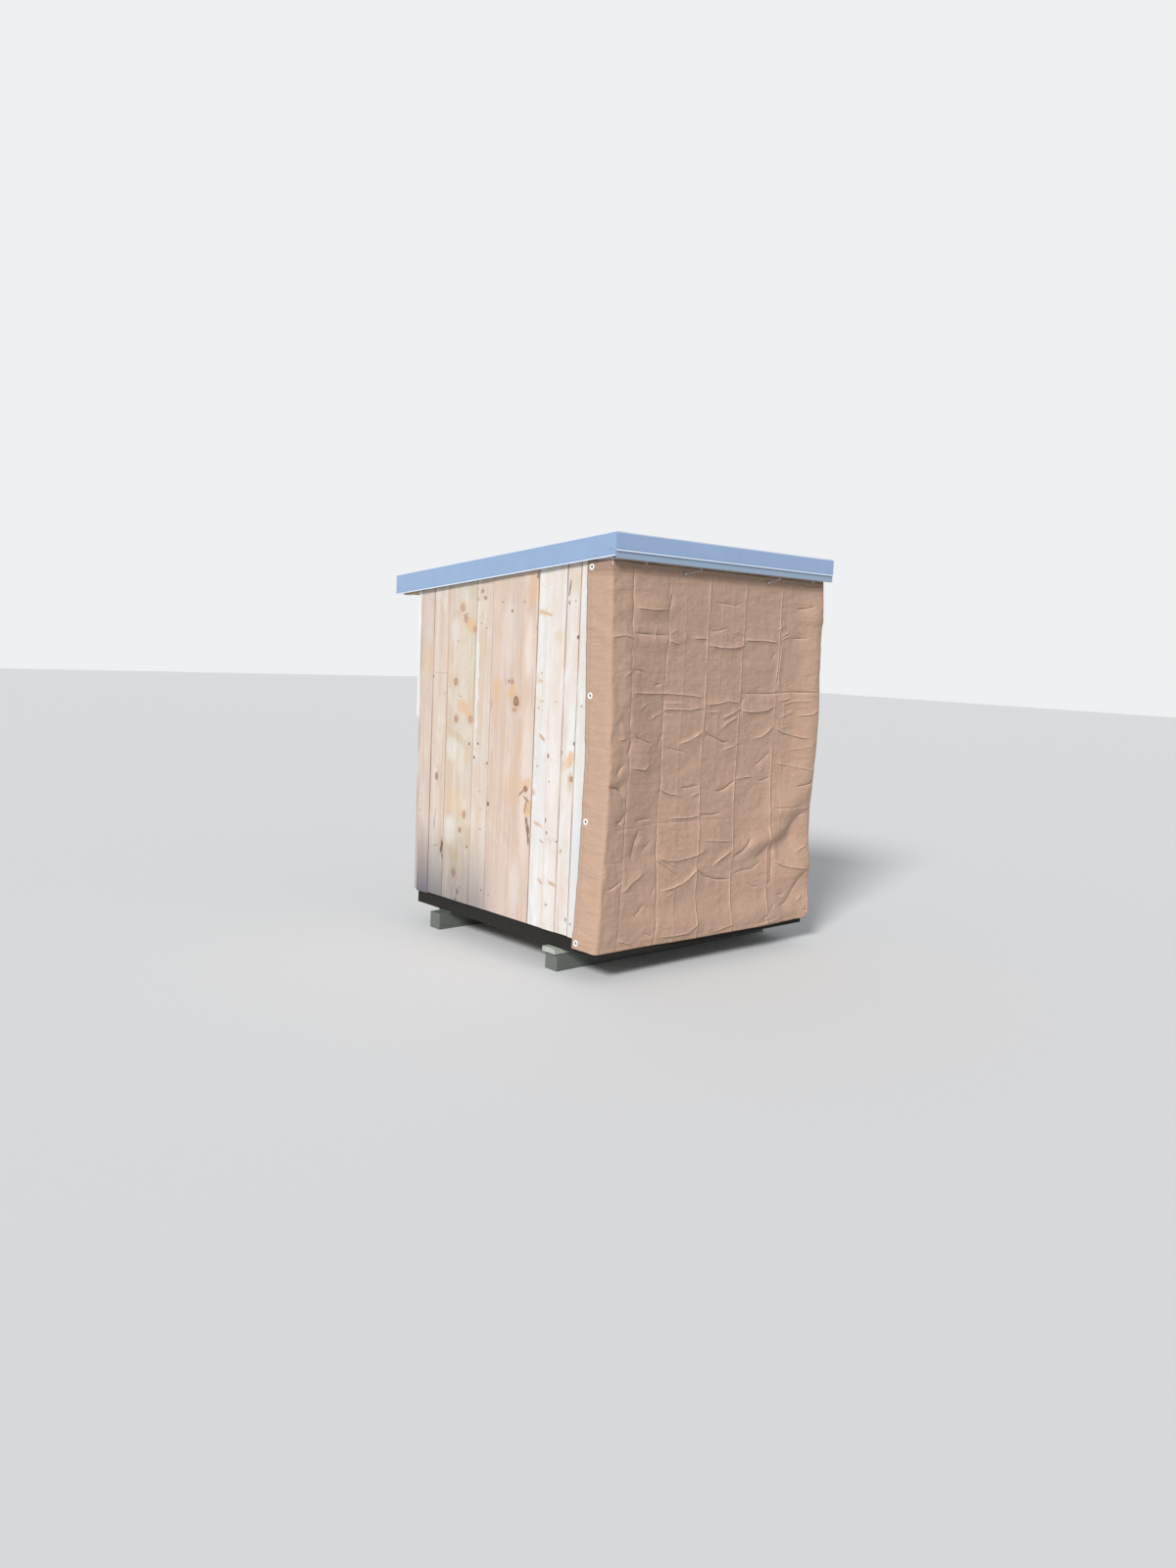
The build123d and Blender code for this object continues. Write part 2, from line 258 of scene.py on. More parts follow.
def growth_rings(s, across, thick, along, stretched, pith, ring, near, seed):
    """Growth rings round a wandering heart, pushed aside by knots. Gives the late wood's
    lines, and the long bands in which some years and groups of years are darker."""
    offsets = []
    for side, middle, start, rate, reach in (
        (across, pith[0], 0.3, 0.9, 0.030), (thick, pith[1], 5.1, 0.7, 0.026),
    ):
        sway = s.noise(s.combine(start + seed, 0, s.times(along, rate)), 1.0, 1)
        heart = s.span(sway, 0.2, 0.8, middle - reach, middle + reach, smooth=False)
        offsets.append(s.math("SUBTRACT", side, heart))
    radius = s.math("SQRT", s.math("ADD", *(s.times(d, d) for d in offsets)))
    count = s.math("MULTIPLY_ADD", s.noise(stretched, 22, 3), 2.2, s.math("DIVIDE", radius, ring))
    if near is not None:
        push = s.math("POWER", 2.718, s.times(near, near, -0.16))
        count = s.math("MULTIPLY_ADD", push, 5.0, count)
    phase = s.math("FRACT", count)
    late = s.times(s.math("POWER", phase, 2.0), s.span(phase, 0.90, 1.0, 1.0, 0.0))
    years = s.noise(s.combine(s.times(count, 0.31), 1.7 * seed, s.times(along, 0.10)), 1.0, 2)
    decades = s.noise(s.combine(s.times(count, 0.085), 2.9 * seed, 0.0), 1.0, 1)
    return s.times(late, s.span(years, 0.30, 0.68, 0.35, 1.0)), years, decades


def draw_grain(s, colour, drift, rings, streak, fibres, contrast, streaks):
    """The sawn face without its marks: rings, streaks, mottle and fibres."""
    late, years, decades = rings
    broad = s.noise(s.scaled(drift, (9, 9, 0.8)), 1.0, 2)
    cloud = s.noise(drift, 4.6, 3)
    mottle = s.noise(s.scaled(drift, (15, 15, 6)), 1.0, 4, 0.6)
    dull = shade(colour, 0.80, 0.70, 0.64)
    return s.layers(
        colour,
        (s.times(late, contrast), shade(colour, 0.70, 0.50, 0.38)),
        (s.span(years, 0.42, 0.68, 0.0, streaks), dull),
        (s.span(decades, 0.46, 0.64, 0.0, streaks), shade(colour, 0.97, 0.82, 0.70)),
        (s.span(streak, 0.46, 0.66, 0.0, streaks), dull),
        (s.span(streak, 0.52, 0.30, 0.0, 0.40), shade(colour, 1.12, 1.14, 1.18)),
        (s.span(broad, 0.44, 0.66, 0.0, 0.40), shade(colour, 1.08, 1.12, 1.20)),
        (s.span(cloud, 0.46, 0.64, 0.0, 0.30), shade(colour, 0.92, 0.86, 0.86)),
        (s.span(mottle, 0.50, 0.66, 0.0, 0.50), shade(colour, 0.95, 0.83, 0.70)),
        (s.span(mottle, 0.47, 0.32, 0.0, 0.45), shade(colour, 1.09, 1.13, 1.20)),
        (s.span(fibres, 0.45, 0.80, 0.0, 0.20), shade(colour, 0.68)),
    )


def draw_stains(s, base, flat, drift, streak, stains):
    """Stains with wavy outlines that follow the grain."""
    wavy = s.noise(s.scaled(drift, (1.0, 1.0, 0.40)), 26, 4, 0.6, part=1)
    offset = s.scaled(s.vector("SUBTRACT", wavy, (0.5, 0.5, 0.5)), (0.060, 0.110, 0.0))
    bent = s.vector("ADD", flat, offset)
    grained = s.span(streak, 0.34, 0.62, 0.72, 1.15)
    for *shape, tint, strength in stains:
        cover = s.span(spot(s, bent, *shape), 0.40, 1.10, strength, 0.0)
        base = s.mix(s.times(cover, grained, clamp=True), base, tint)
    return base


def draw_knots(s, base, colour, drift, wander, near, dark, glow):
    """Knots with a halo, rings, a ragged bark rim and a pip. Also gives where they stand out."""
    edge = s.math("ADD", near, s.math("MULTIPLY_ADD", wander, 0.7, -0.35))
    rings = s.math("SINE", s.times(edge, 8.0))
    solid = s.span(dark, 0.30, 1.0, 0.32, 0.96, smooth=False)
    deep = s.mix(glow, (0.15, 0.095, 0.075), s.mix(dark, (0.60, 0.42, 0.29), (0.29, 0.155, 0.110)))
    inner = s.mix(s.times(s.span(rings, -0.6, 0.9, 0.0, 0.40), glow), deep, (0.62, 0.43, 0.30))
    rim = s.times(s.span(edge, 0.80, 0.92), s.span(edge, 0.98, 1.14, 1.0, 0.0))
    ragged = s.span(s.noise(drift, 70, 2), 0.40, 0.56, 0.15, 1.0)
    base = s.layers(
        base,
        (s.times(s.span(edge, 0.9, 2.2, 0.60, 0.0), glow), shade(colour, 0.95, 0.74, 0.56)),
        (s.times(s.span(rings, 0.2, 1.0), s.span(edge, 1.0, 2.2, 0.26, 0.0), glow), (0.30, 0.17, 0.11)),
        (s.times(s.span(edge, 0.88, 1.04, 1.0, 0.0), solid), inner),
        (s.times(rim, ragged, solid), (0.060, 0.032, 0.025)),
        (s.times(s.span(edge, 0.06, 0.26, 0.7, 0.0), dark), (0.12, 0.065, 0.045)),
    )
    return base, s.span(edge, 0.8, 1.1, 1.0, 0.0)


def draw_specks(s, base, place, drift, specks):
    """Pin-sized dark specks, in patches."""
    some = s.span(s.noise(drift, 11, 2), 0.46, 0.60)
    far = s.dots(s.scaled(place, (1.0, 1.0, 0.7)), 34)
    return s.mix(s.times(s.span(far, 0.040, 0.085, specks, 0.0), some), base, (0.13, 0.085, 0.07))


def draw_edge_dirt(s, base, across, along, edges):
    """Dirt gathered along a board's two sides."""
    low, high, low_side, high_side = edges
    uneven = s.noise(s.combine(across, 0, s.times(along, 3.0)), 1.0, 2)
    uneven = s.span(uneven, 0.35, 0.60, 0.35, 1.0)
    for first, second, dirt in ((across, low, low_side), (high, across, high_side)):
        inside = s.math("SUBTRACT", first, second)
        line = s.times(s.span(inside, 0.0008, 0.0052, dirt, 0.0), uneven)
        base = s.mix(line, base, (0.26, 0.15, 0.11))
    return base


def draw_foot_dirt_and_shade(s, base, across, along, stretched, foot_dirt_and_shade):
    """Splashed dirt and painted shade at a wall's foot, darker towards the bottom."""
    level, strength, start, full = foot_dirt_and_shade
    top = s.math("MULTIPLY_ADD", s.noise(stretched, 14, 3), 0.14, level - 0.07)
    depth = s.span(along, top, 0.185, 0.0, strength, smooth=False)
    # The foot goes to a cool dark grey: splashed dirt together with painted shade
    return s.mix(s.times(depth, s.span(across, start, full)), base, (0.088, 0.090, 0.118))


def wood(
    name, axes, colour, pith, ring, contrast, streaks=0.46, knots=(), stains=(), rough=0.62,
    seed=0, saw_marks=0.0, specks=0.0, edges=None, foot_dirt_and_shade=None,
):
    """Sawn softwood. axes names the object's axes that run across the grain, through the
    thickness and along the grain. pith is the heart's place in the first two, and ring the
    width of a year's growth.

    knots are (across, along, half width, half height, turn, darkness), and stains are
    (across, along, half width, half height, turn, colour, strength). edges are the board's
    two sides and how much dirt has gathered at each. foot_dirt_and_shade is the height where the
    darkening at a wall's foot ends, how dark it gets, and the places across where it sets
    in: splashed dirt together with painted shade."""
    s = Shader(name, Specular_IOR_Level=0.28)
    split = s.node("SeparateXYZ", s.coordinates.outputs["Object"])
    across, thick, along = (split.outputs["xyz".index(a)] for a in axes)
    place, flat = s.combine(across, thick, along), s.combine(across, along)
    drift = s.vector("ADD", place, (0.37 * seed, 0.61 * seed, 0.83 * seed))
    stretched = s.scaled(drift, (1.0, 1.0, 0.10))
    wander = s.noise(drift, 34, 2)
    streak = s.noise(s.scaled(drift, (120, 120, 1.3)), 1.0, 3, 0.6)
    fibres = s.noise(s.scaled(drift, (900, 900, 22)), 1.0, 2, 0.7)

    near, dark, glow = nearest_knot(s, flat, knots)
    rings = growth_rings(s, across, thick, along, stretched, pith, ring, near, seed)
    base = draw_grain(s, colour, drift, rings, streak, fibres, contrast, streaks)
    height = s.math("MULTIPLY_ADD", rings[0], 0.55, s.times(fibres, 0.9))
    if stains:
        base = draw_stains(s, base, flat, drift, streak, stains)
    if near is not None:
        base, raised = draw_knots(s, base, colour, drift, wander, near, dark, glow)
        height = s.math("MULTIPLY_ADD", raised, 0.9, height)
    if specks:
        base = draw_specks(s, base, place, drift, specks)
    if edges:
        base = draw_edge_dirt(s, base, across, along, edges)
    if foot_dirt_and_shade:
        base = draw_foot_dirt_and_shade(s, base, across, along, stretched, foot_dirt_and_shade)
    if saw_marks:
        turns = s.times(s.math("MULTIPLY_ADD", wander, 0.004, along), 2 * math.pi / 0.0042)
        patchy = s.span(s.noise(drift, 4.0, 2), 0.42, 0.62)
        height = s.math("MULTIPLY_ADD", s.times(s.math("SINE", turns), patchy), saw_marks, height)
    roughness = s.span(fibres, 0.3, 0.8, rough - 0.06, rough + 0.10, smooth=False)
    return s.finish(base, roughness, s.bump(height, 0.00055, 0.8))


def painted_metal(name, colour, rough=0.34, axis="y", face=None):
    """Coil-coated steel: faint waves from the folding brake, dust and rain streaks.

    face is the height of a trim's lower and upper edge at y = 0 and its fall along y: its
    folded edges get a painted highlight, with a line of painted shade above the lower one."""
    s = Shader(name, Specular_IOR_Level=0.5, Coat_Weight=0.12, Coat_Roughness=0.22)
    where = s.coordinates.outputs["Object"]
    waves = s.noise(s.scaled(where, {"y": (5, 1.7, 5), "x": (1.7, 5, 5)}[axis]), 2.2, 1)
    grit = s.noise(where, 420, 2, 0.7)
    dust = s.noise(where, 7.0, 5, 0.62)
    rain = s.noise(s.scaled(where, (34, 34, 2.4)), 1.0, 3, 0.6)
    some = s.span(s.noise(where, 9, 1), 0.48, 0.60)
    base = s.layers(
        colour,
        (s.span(dust, 0.42, 0.72, 0.0, 0.26), shade(colour, 1.20)),
        (s.span(rain, 0.52, 0.80, 0.0, 0.12), shade(colour, 0.74, 0.76, 0.78)),
        (s.times(s.span(s.dots(where, 150), 0.04, 0.10, 0.5, 0.0), some), (0.10, 0.10, 0.09)),
    )
    if face:
        low, high, fall = face
        split = s.node("SeparateXYZ", where)
        level = s.math("MULTIPLY_ADD", split.outputs[1], fall, split.outputs[2])
        above_fold = s.span(level, low + 0.0085, low + 0.0105)
        line = s.times(above_fold, s.span(level, low + 0.011, low + 0.015, 1.0, 0.0))
        # Painted highlight along the lower fold, a line of painted shade above it, and painted highlight
        # along the top fold
        base = s.layers(
            base,
            (s.span(level, low + 0.0055, low + 0.0085, 0.85, 0.0), (0.74, 0.80, 0.88)),
            (s.times(line, 0.35), shade(colour, 0.5)),
            (s.span(level, high - 0.0045, high - 0.0025, 0.0, 0.65), (0.70, 0.77, 0.86)),
        )
    roughness = s.math("MULTIPLY_ADD", dust, 0.22, s.math("MULTIPLY_ADD", rain, 0.10, rough - 0.14))
    normal = s.bump(waves, 0.010, 0.35)
    normal = s.bump(grit, 0.00012, 0.35, normal)
    return s.finish(base, roughness, normal)


def bare_metal(name, colour, rough=0.32, metallic=1.0):
    s = Shader(name, Metallic=metallic)
    where = s.coordinates.outputs["Object"]
    scratches = s.noise(s.scaled(where, (300, 900, 1500)), 1.0, 2)
    base = s.mix(s.span(s.noise(where, 90, 3), 0.45, 0.7, 0.0, 0.35), colour, shade(colour, 0.55))
    roughness = s.span(scratches, 0.3, 0.7, rough - 0.08, rough + 0.14)
    return s.finish(base, roughness, s.bump(scratches, 0.0001, 0.4))


def attribute(s, name):
    """A value that the canvas's mesh carries at each of its points."""
    return s.node("Attribute", attribute_name=name).outputs["Fac"]


def painted_fold_light(s, uv, kind, half_width, reach):
    """Painted highlight and painted shade beside a fold or crease, above 0 on the pale lit side and below 0
    on the shaded side, and its sharp crest in mm.
    """
    far, power = attribute(s, kind + "_far"), attribute(s, kind + "_power")
    far = s.math("ADD", far, s.math("MULTIPLY_ADD", s.noise(uv, 45, 2), 0.9, -0.45))
    square = s.times(far, far)
    bell = s.math("POWER", 2.718, s.math("DIVIDE", square, -(half_width**2)))
    tone = s.times(far, 2.33 / half_width, bell)
    rounded = s.math("SQRT", s.math("ADD", square, 0.3))
    crest = s.math("POWER", 2.718, s.math("DIVIDE", rounded, -reach))
    power = s.times(power, s.span(s.noise(uv, 17, 2), 0.32, 0.60, 0.35, 1.15))
    return s.times(tone, power), s.times(crest, power)


def cloth_noise(s, uv, along_u, along_v, detail, roughness):
    """Noise drawn out along the cloth's width or height."""
    return s.noise(s.scaled(uv, (along_u, along_v, 1)), 1.0, detail, roughness)


def canvas(name, colour):
    """Plain-weave cotton duck, darker where damp, with painted highlight and painted shade beside its folds
    and creases.
    """
    s = Shader(name, Specular_IOR_Level=0.16, Sheen_Weight=0.10, Sheen_Roughness=0.6)
    uv = s.node("UVMap", uv_map="cloth").outputs[0]
    split = s.node("SeparateXYZ", uv)
    u, v = split.outputs[0], split.outputs[1]
    thread = 2 * math.pi / 0.0013
    weave = s.times(*(s.math("SINE", s.times(way, thread)) for way in (u, v)))
    slubs = s.math("ADD", cloth_noise(s, uv, 900, 26, 2, 0.6), cloth_noise(s, uv, 26, 900, 2, 0.6))
    cloud = s.noise(uv, 3.2, 3)
    blotch = s.noise(uv, 26.0, 4, 0.62)
    ripple = cloth_noise(s, uv, 7, 34, 3, 0.5)
    slack = cloth_noise(s, uv, 22, 13, 2, 0.5)
    pucker = cloth_noise(s, uv, 105, 80, 3, 0.6)
    # Sharp little crumples, in patches
    bent = s.vector("ADD", uv, s.scaled(s.noise(uv, 9, 2, part=1), (0.07, 0.07, 0)))
    crumple = s.math("ABSOLUTE", s.math("SUBTRACT", cloth_noise(s, bent, 10, 21, 3, 0.55), 0.5))
    crumple = s.times(s.span(crumple, 0.0, 0.09, 1.0, 0.0), s.span(cloud, 0.40, 0.62, 0.15, 1.0))

    fold_painted_light, fold_crest = painted_fold_light(s, uv, "fold", 3.0, 3.4)
    crease_painted_light, crease_crest = painted_fold_light(s, uv, "crease", 3.2, 3.6)
    # tone is painted light: a painted highlight on the lit side of each fold and crease, painted shade on the
    # other side
    tone = s.math("ADD", fold_painted_light, s.times(crease_painted_light, 1.15))
    damp = s.span(s.math("MULTIPLY_ADD", blotch, 0.10, v), 0.05, 0.16, 0.12, 0.0)
    base = s.layers(
        colour,
        (s.span(cloud, 0.35, 0.70, 0.0, 0.55), shade(colour, 0.93, 0.90, 0.90)),
        # Painted shade: the cloth darker towards the top
        (s.span(v, 0.45, 1.75, 0.0, 0.55), shade(colour, 0.86)),
        (s.span(blotch, 0.42, 0.72, 0.0, 0.40), shade(colour, 1.08, 1.09, 1.11)),
        (s.span(pucker, 0.40, 0.70, 0.0, 0.30), shade(colour, 0.86)),
        (s.span(pucker, 0.50, 0.28, 0.0, 0.30), shade(colour, 1.13)),
        (s.span(slubs, 0.85, 1.25, 0.0, 0.22), shade(colour, 0.84)),
        (s.span(weave, -1.0, 1.0, 0.10, 0.0), shade(colour, 0.75)),
        # Painted highlight: paler along the little crumples
        (s.times(crumple, 0.10), shade(colour, 1.25)),
        # Painted highlight and painted shade beside the folds and creases
        (s.times(tone, 1.0, clamp=True), shade(colour, 1.32, 1.38, 1.42)),
        (s.times(tone, -1.0, clamp=True), shade(colour, 0.46)),
        # Painted shadow of the fascia and drip edge, in a band below the cloth's top
        (s.span(v, CUT[1] - 0.085, CUT[1] - 0.040, 0.0, 0.42), shade(colour, 0.50)),
        (damp, shade(colour, 0.72)),
        # The hem mark: painted shadow across the top hem, and darker stitch lines
        (s.times(attribute(s, "hem"), 0.50), shade(colour, 0.46, 0.44, 0.42)),
    )
    crest = s.math("ADD", fold_crest, s.times(crease_crest, 1.2))
    normal = s.bump(crest, 0.0027, 1.0)
    on_flap = s.span(u, FLAP - 0.02, FLAP + 0.02, 1.5, 0.8)
    ripple = s.math("MULTIPLY_ADD", ripple, on_flap, s.times(slack, 1.1))
    normal = s.bump(s.math("MULTIPLY_ADD", crumple, 0.26, ripple), 0.0062, 0.75, normal)
    normal = s.bump(pucker, 0.0007, 0.8, normal)
    normal = s.bump(s.math("MULTIPLY_ADD", slubs, 0.8, weave), 0.00022, 0.55, normal)
    return s.finish(base, s.span(slubs, 0.7, 1.3, 0.80, 0.92), normal)


def studio_floor(name):
    s = Shader(name, roughness=0.75, Specular_IOR_Level=0.2)
    return s.finish((0.74, 0.75, 0.76))


# Mesh helpers


def new_mesh(name, points, faces, materials, smooth=False, body="root", slot=None):
    mesh = bpy.data.meshes.new(name)
    points = [tuple(float(c) for c in p) for p in points]
    mesh.from_pydata(points, [], [tuple(int(i) for i in f) for f in faces])
    mesh.update()
    for material in materials:
        mesh.materials.append(material)
    if smooth:
        mesh.polygons.foreach_set("use_smooth", [True] * len(mesh.polygons))
    made = bpy.data.objects.new(name, mesh)
    scene.collection.objects.link(made)
    if body:
        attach(made, body)
    return made


class Parts:
    """Gathers many small shapes into one mesh."""

    def __init__(self):
        self.points, self.faces, self.slots = [], [], []

    def add(self, points, faces, slot=0):
        start = len(self.points)
        self.points += [tuple(p) for p in points]
        self.faces += [tuple(start + i for i in f) for f in faces]
        self.slots += [slot] * len(faces)

    def make(self, name, materials, **options):
        made = new_mesh(name, self.points, self.faces, materials, **options)
        made.data.polygons.foreach_set("material_index", self.slots)
        return made


def bands(rings, sides):
    """The faces between rings of points that follow each other."""
    faces = []
    for n in range(rings - 1):
        for k in range(sides):
            a, b = n * sides + k, n * sides + (k + 1) % sides
            faces.append((a, b, b + sides, a + sides))
    return faces


def end_caps(rings, sides):
    """The faces that close the first and the last ring."""
    last = (rings - 1) * sides
    return [tuple(reversed(range(sides))), tuple(last + k for k in range(sides))]


def lattice_noise(x, y, size_x, size_y, seed):
    """Smooth noise of about unit size on arrays of places."""
    size = 96
    table = np.random.default_rng(seed).normal(0, 1, (size, size))
    gx, gy = x / size_x + 17.3, y / size_y + 11.7
    ix, iy = np.floor(gx).astype(int), np.floor(gy).astype(int)
    fx, fy = (f * f * f * (f * (f * 6 - 15) + 10) for f in (gx - ix, gy - iy))
    a, b = table[ix % size, iy % size], table[(ix + 1) % size, iy % size]
    c, d = table[ix % size, (iy + 1) % size], table[(ix + 1) % size, (iy + 1) % size]
    return (a * (1 - fx) + b * fx) * (1 - fy) + (c * (1 - fx) + d * fx) * fy


# Boards and nails

CHAMFER = 1.6 * MM
BOARD_ROWS = 22
NAIL_RADIUS, NAIL_PROUD, NAIL_SIDES = 2.6 * MM, 0.5 * MM, 10
# Rings of a nail head: their share of its radius, and how high they lie
NAIL_PROFILE = ((1.0, -0.5), (1.0, 0.4), (0.72, 0.85), (0.0, 1.0))


def board(parts, slot, across, along, thick, place, chance, top=None):
    """Adds one sawn board. across, along and thick are (low, high), and place turns
    (across, thick, along) into a point. top(across) gives a sloping end's height."""
    (a0, a1), (t0, t1), c = across, thick, CHAMFER
    section = [
        (a0 + c, t0), (a1 - c, t0), (a1, t0 + c), (a1, t1 - c),
        (a1 - c, t1), (a0 + c, t1), (a0, t1 - c), (a0, t0 + c),
    ]
    wave = chance.uniform(0, 6.28, 4)
    points = []
    for n in range(BOARD_ROWS + 1):
        f = n / BOARD_ROWS
        bend_a = 0.5 * MM * math.sin(3.1 * f + wave[0]) + 0.3 * MM * math.sin(9.7 * f + wave[1])
        bend_t = 0.35 * MM * math.sin(2.3 * f + wave[2])
        for a, t in section:
            end = top(a) if top else along[1]
            points.append(place(a + bend_a, t + bend_t, along[0] + f * (end - along[0])))
    rings, sides = BOARD_ROWS + 1, len(section)
    parts.add(points, bands(rings, sides) + end_caps(rings, sides), slot)


def nail_heads(name, places, axis, sign):
    """A piece of low domed nail heads at places, facing along an axis."""
    parts, sides = Parts(), NAIL_SIDES
    first, second = [k for k in range(3) if k != axis]
    tip = [(2 * sides + k, 2 * sides + (k + 1) % sides, 3 * sides) for k in range(sides)]
    for middle in places:
        points = []
        for share, height in NAIL_PROFILE:
            for k in range(sides if share else 1):
                turn = 2 * math.pi * k / sides
                point = list(middle)
                point[first] += NAIL_RADIUS * share * math.cos(turn)
                point[second] += NAIL_RADIUS * share * math.sin(turn)
                point[axis] += sign * NAIL_PROUD * height
                points.append(point)
        parts.add(points, bands(3, sides) + tip)
    parts.make(name, [NAIL], smooth=True)


# The shed's own heights

FRONT_Y, BACK_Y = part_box("front_left_post")[0][1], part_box("left_wall")[1][1]
WALL_TOP, BOARD_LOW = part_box("left_wall")[1][2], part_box("left_wall")[0][2]
# Height of a rafter measured plumb, by which the side walls' line lies over the back wall's top
RAFTER_PLUMB = 0.0893742
SLOPE = (WALL_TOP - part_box("back_wall")[1][2] - RAFTER_PLUMB) / (BACK_Y - FRONT_Y)
# The same fall as it was drawn, for the rake trims
ROOF_DROP, FRAME_DEPTH = 0.140, 1.524
RAKE_FALL = ROOF_DROP / FRAME_DEPTH
BOARD_THICK, BATTEN_WIDTH = 19 * MM, 45 * MM
# Heights of the two low rows of nails, and how far below the top the last row is
NAIL_ROWS, LEFT_TOP_ROW, PLAIN_TOP_ROW = (0.222, 1.03), 0.165, 0.125


def wall_top(y):
    """Height of the side walls' top under the roof deck."""
    return WALL_TOP - (y - FRONT_Y) * SLOPE


PINE = (0.612, 0.545, 0.458)
HEART = (0.628, 0.524, 0.452)
CREAM = (0.690, 0.640, 0.560)
SAP = (0.715, 0.712, 0.690)
PINKISH = (0.712, 0.682, 0.645)
FAIR = (0.644, 0.576, 0.504)
WARM = (0.614, 0.538, 0.484)
ROSY_WHITE = (0.700, 0.600, 0.540)
SNOW = (0.740, 0.740, 0.735)
GREY = (0.205, 0.190, 0.205)
AMBER = (0.640, 0.420, 0.245)
OCHRE = (0.520, 0.410, 0.265)
ROSE = (0.560, 0.455, 0.410)
RUST = (0.400, 0.210, 0.120)
COOL = (0.640, 0.640, 0.650)

# The left wall's boards, in mm: their edges, half of each seam, and how far back each lies
LEFT_EDGES = (-862.85, -652, -554, -450, -342, 24, 163, 410, 549, 661.15)
HALF_SEAMS = (0.5, 1.2, 1.0, 0.7, 1.0, 1.2, 0.8, 1.1, 2.0, 0.5)
SET_BACKS = (0.0, 1.4, 0.4, 1.1, 0.0, 1.6, 0.4, 1.5, 2.6)
LAST_BOARD_DROP = 8 * MM
# How dark each seam is, and the foot of each board that has splashed dirt and painted shade
SEAM_DIRT = (0, 0.90, 0.65, 0.10, 0.60, 0.50, 0.25, 0.70, 0.90, 0.2)
FOOT_DIRT_AND_SHADE = {4: 0.60, 5: 0.60, 6: 0.60, 7: 0.80, 8: 0.92}
# Boards of a wall that the photograph doesn't show, and the gap at each of their sides
PLAIN_BOARDS, PLAIN_GAP = 9, 1.0 * MM
# Colour, pith across and how deep it lies, contrast of the growth rings, and streaks
LEFT_LOOKS = (
    (SAP, -0.60, 0.10, 0.30, 0.30),
    (PINKISH, -0.63, 0.12, 0.60, 0.44),
    (PINKISH, -0.50, 0.07, 0.36, 0.30),
    (SAP, -0.36, 0.10, 0.26, 0.34),
    (HEART, -0.13, 0.050, 0.95, 0.66),
    (FAIR, 0.08, 0.11, 0.60, 0.48),
    (PINE, 0.27, 0.08, 0.50, 0.58),
    (FAIR, 0.46, 0.06, 0.70, 0.54),
    (WARM, 0.64, 0.09, 0.66, 0.60),
)
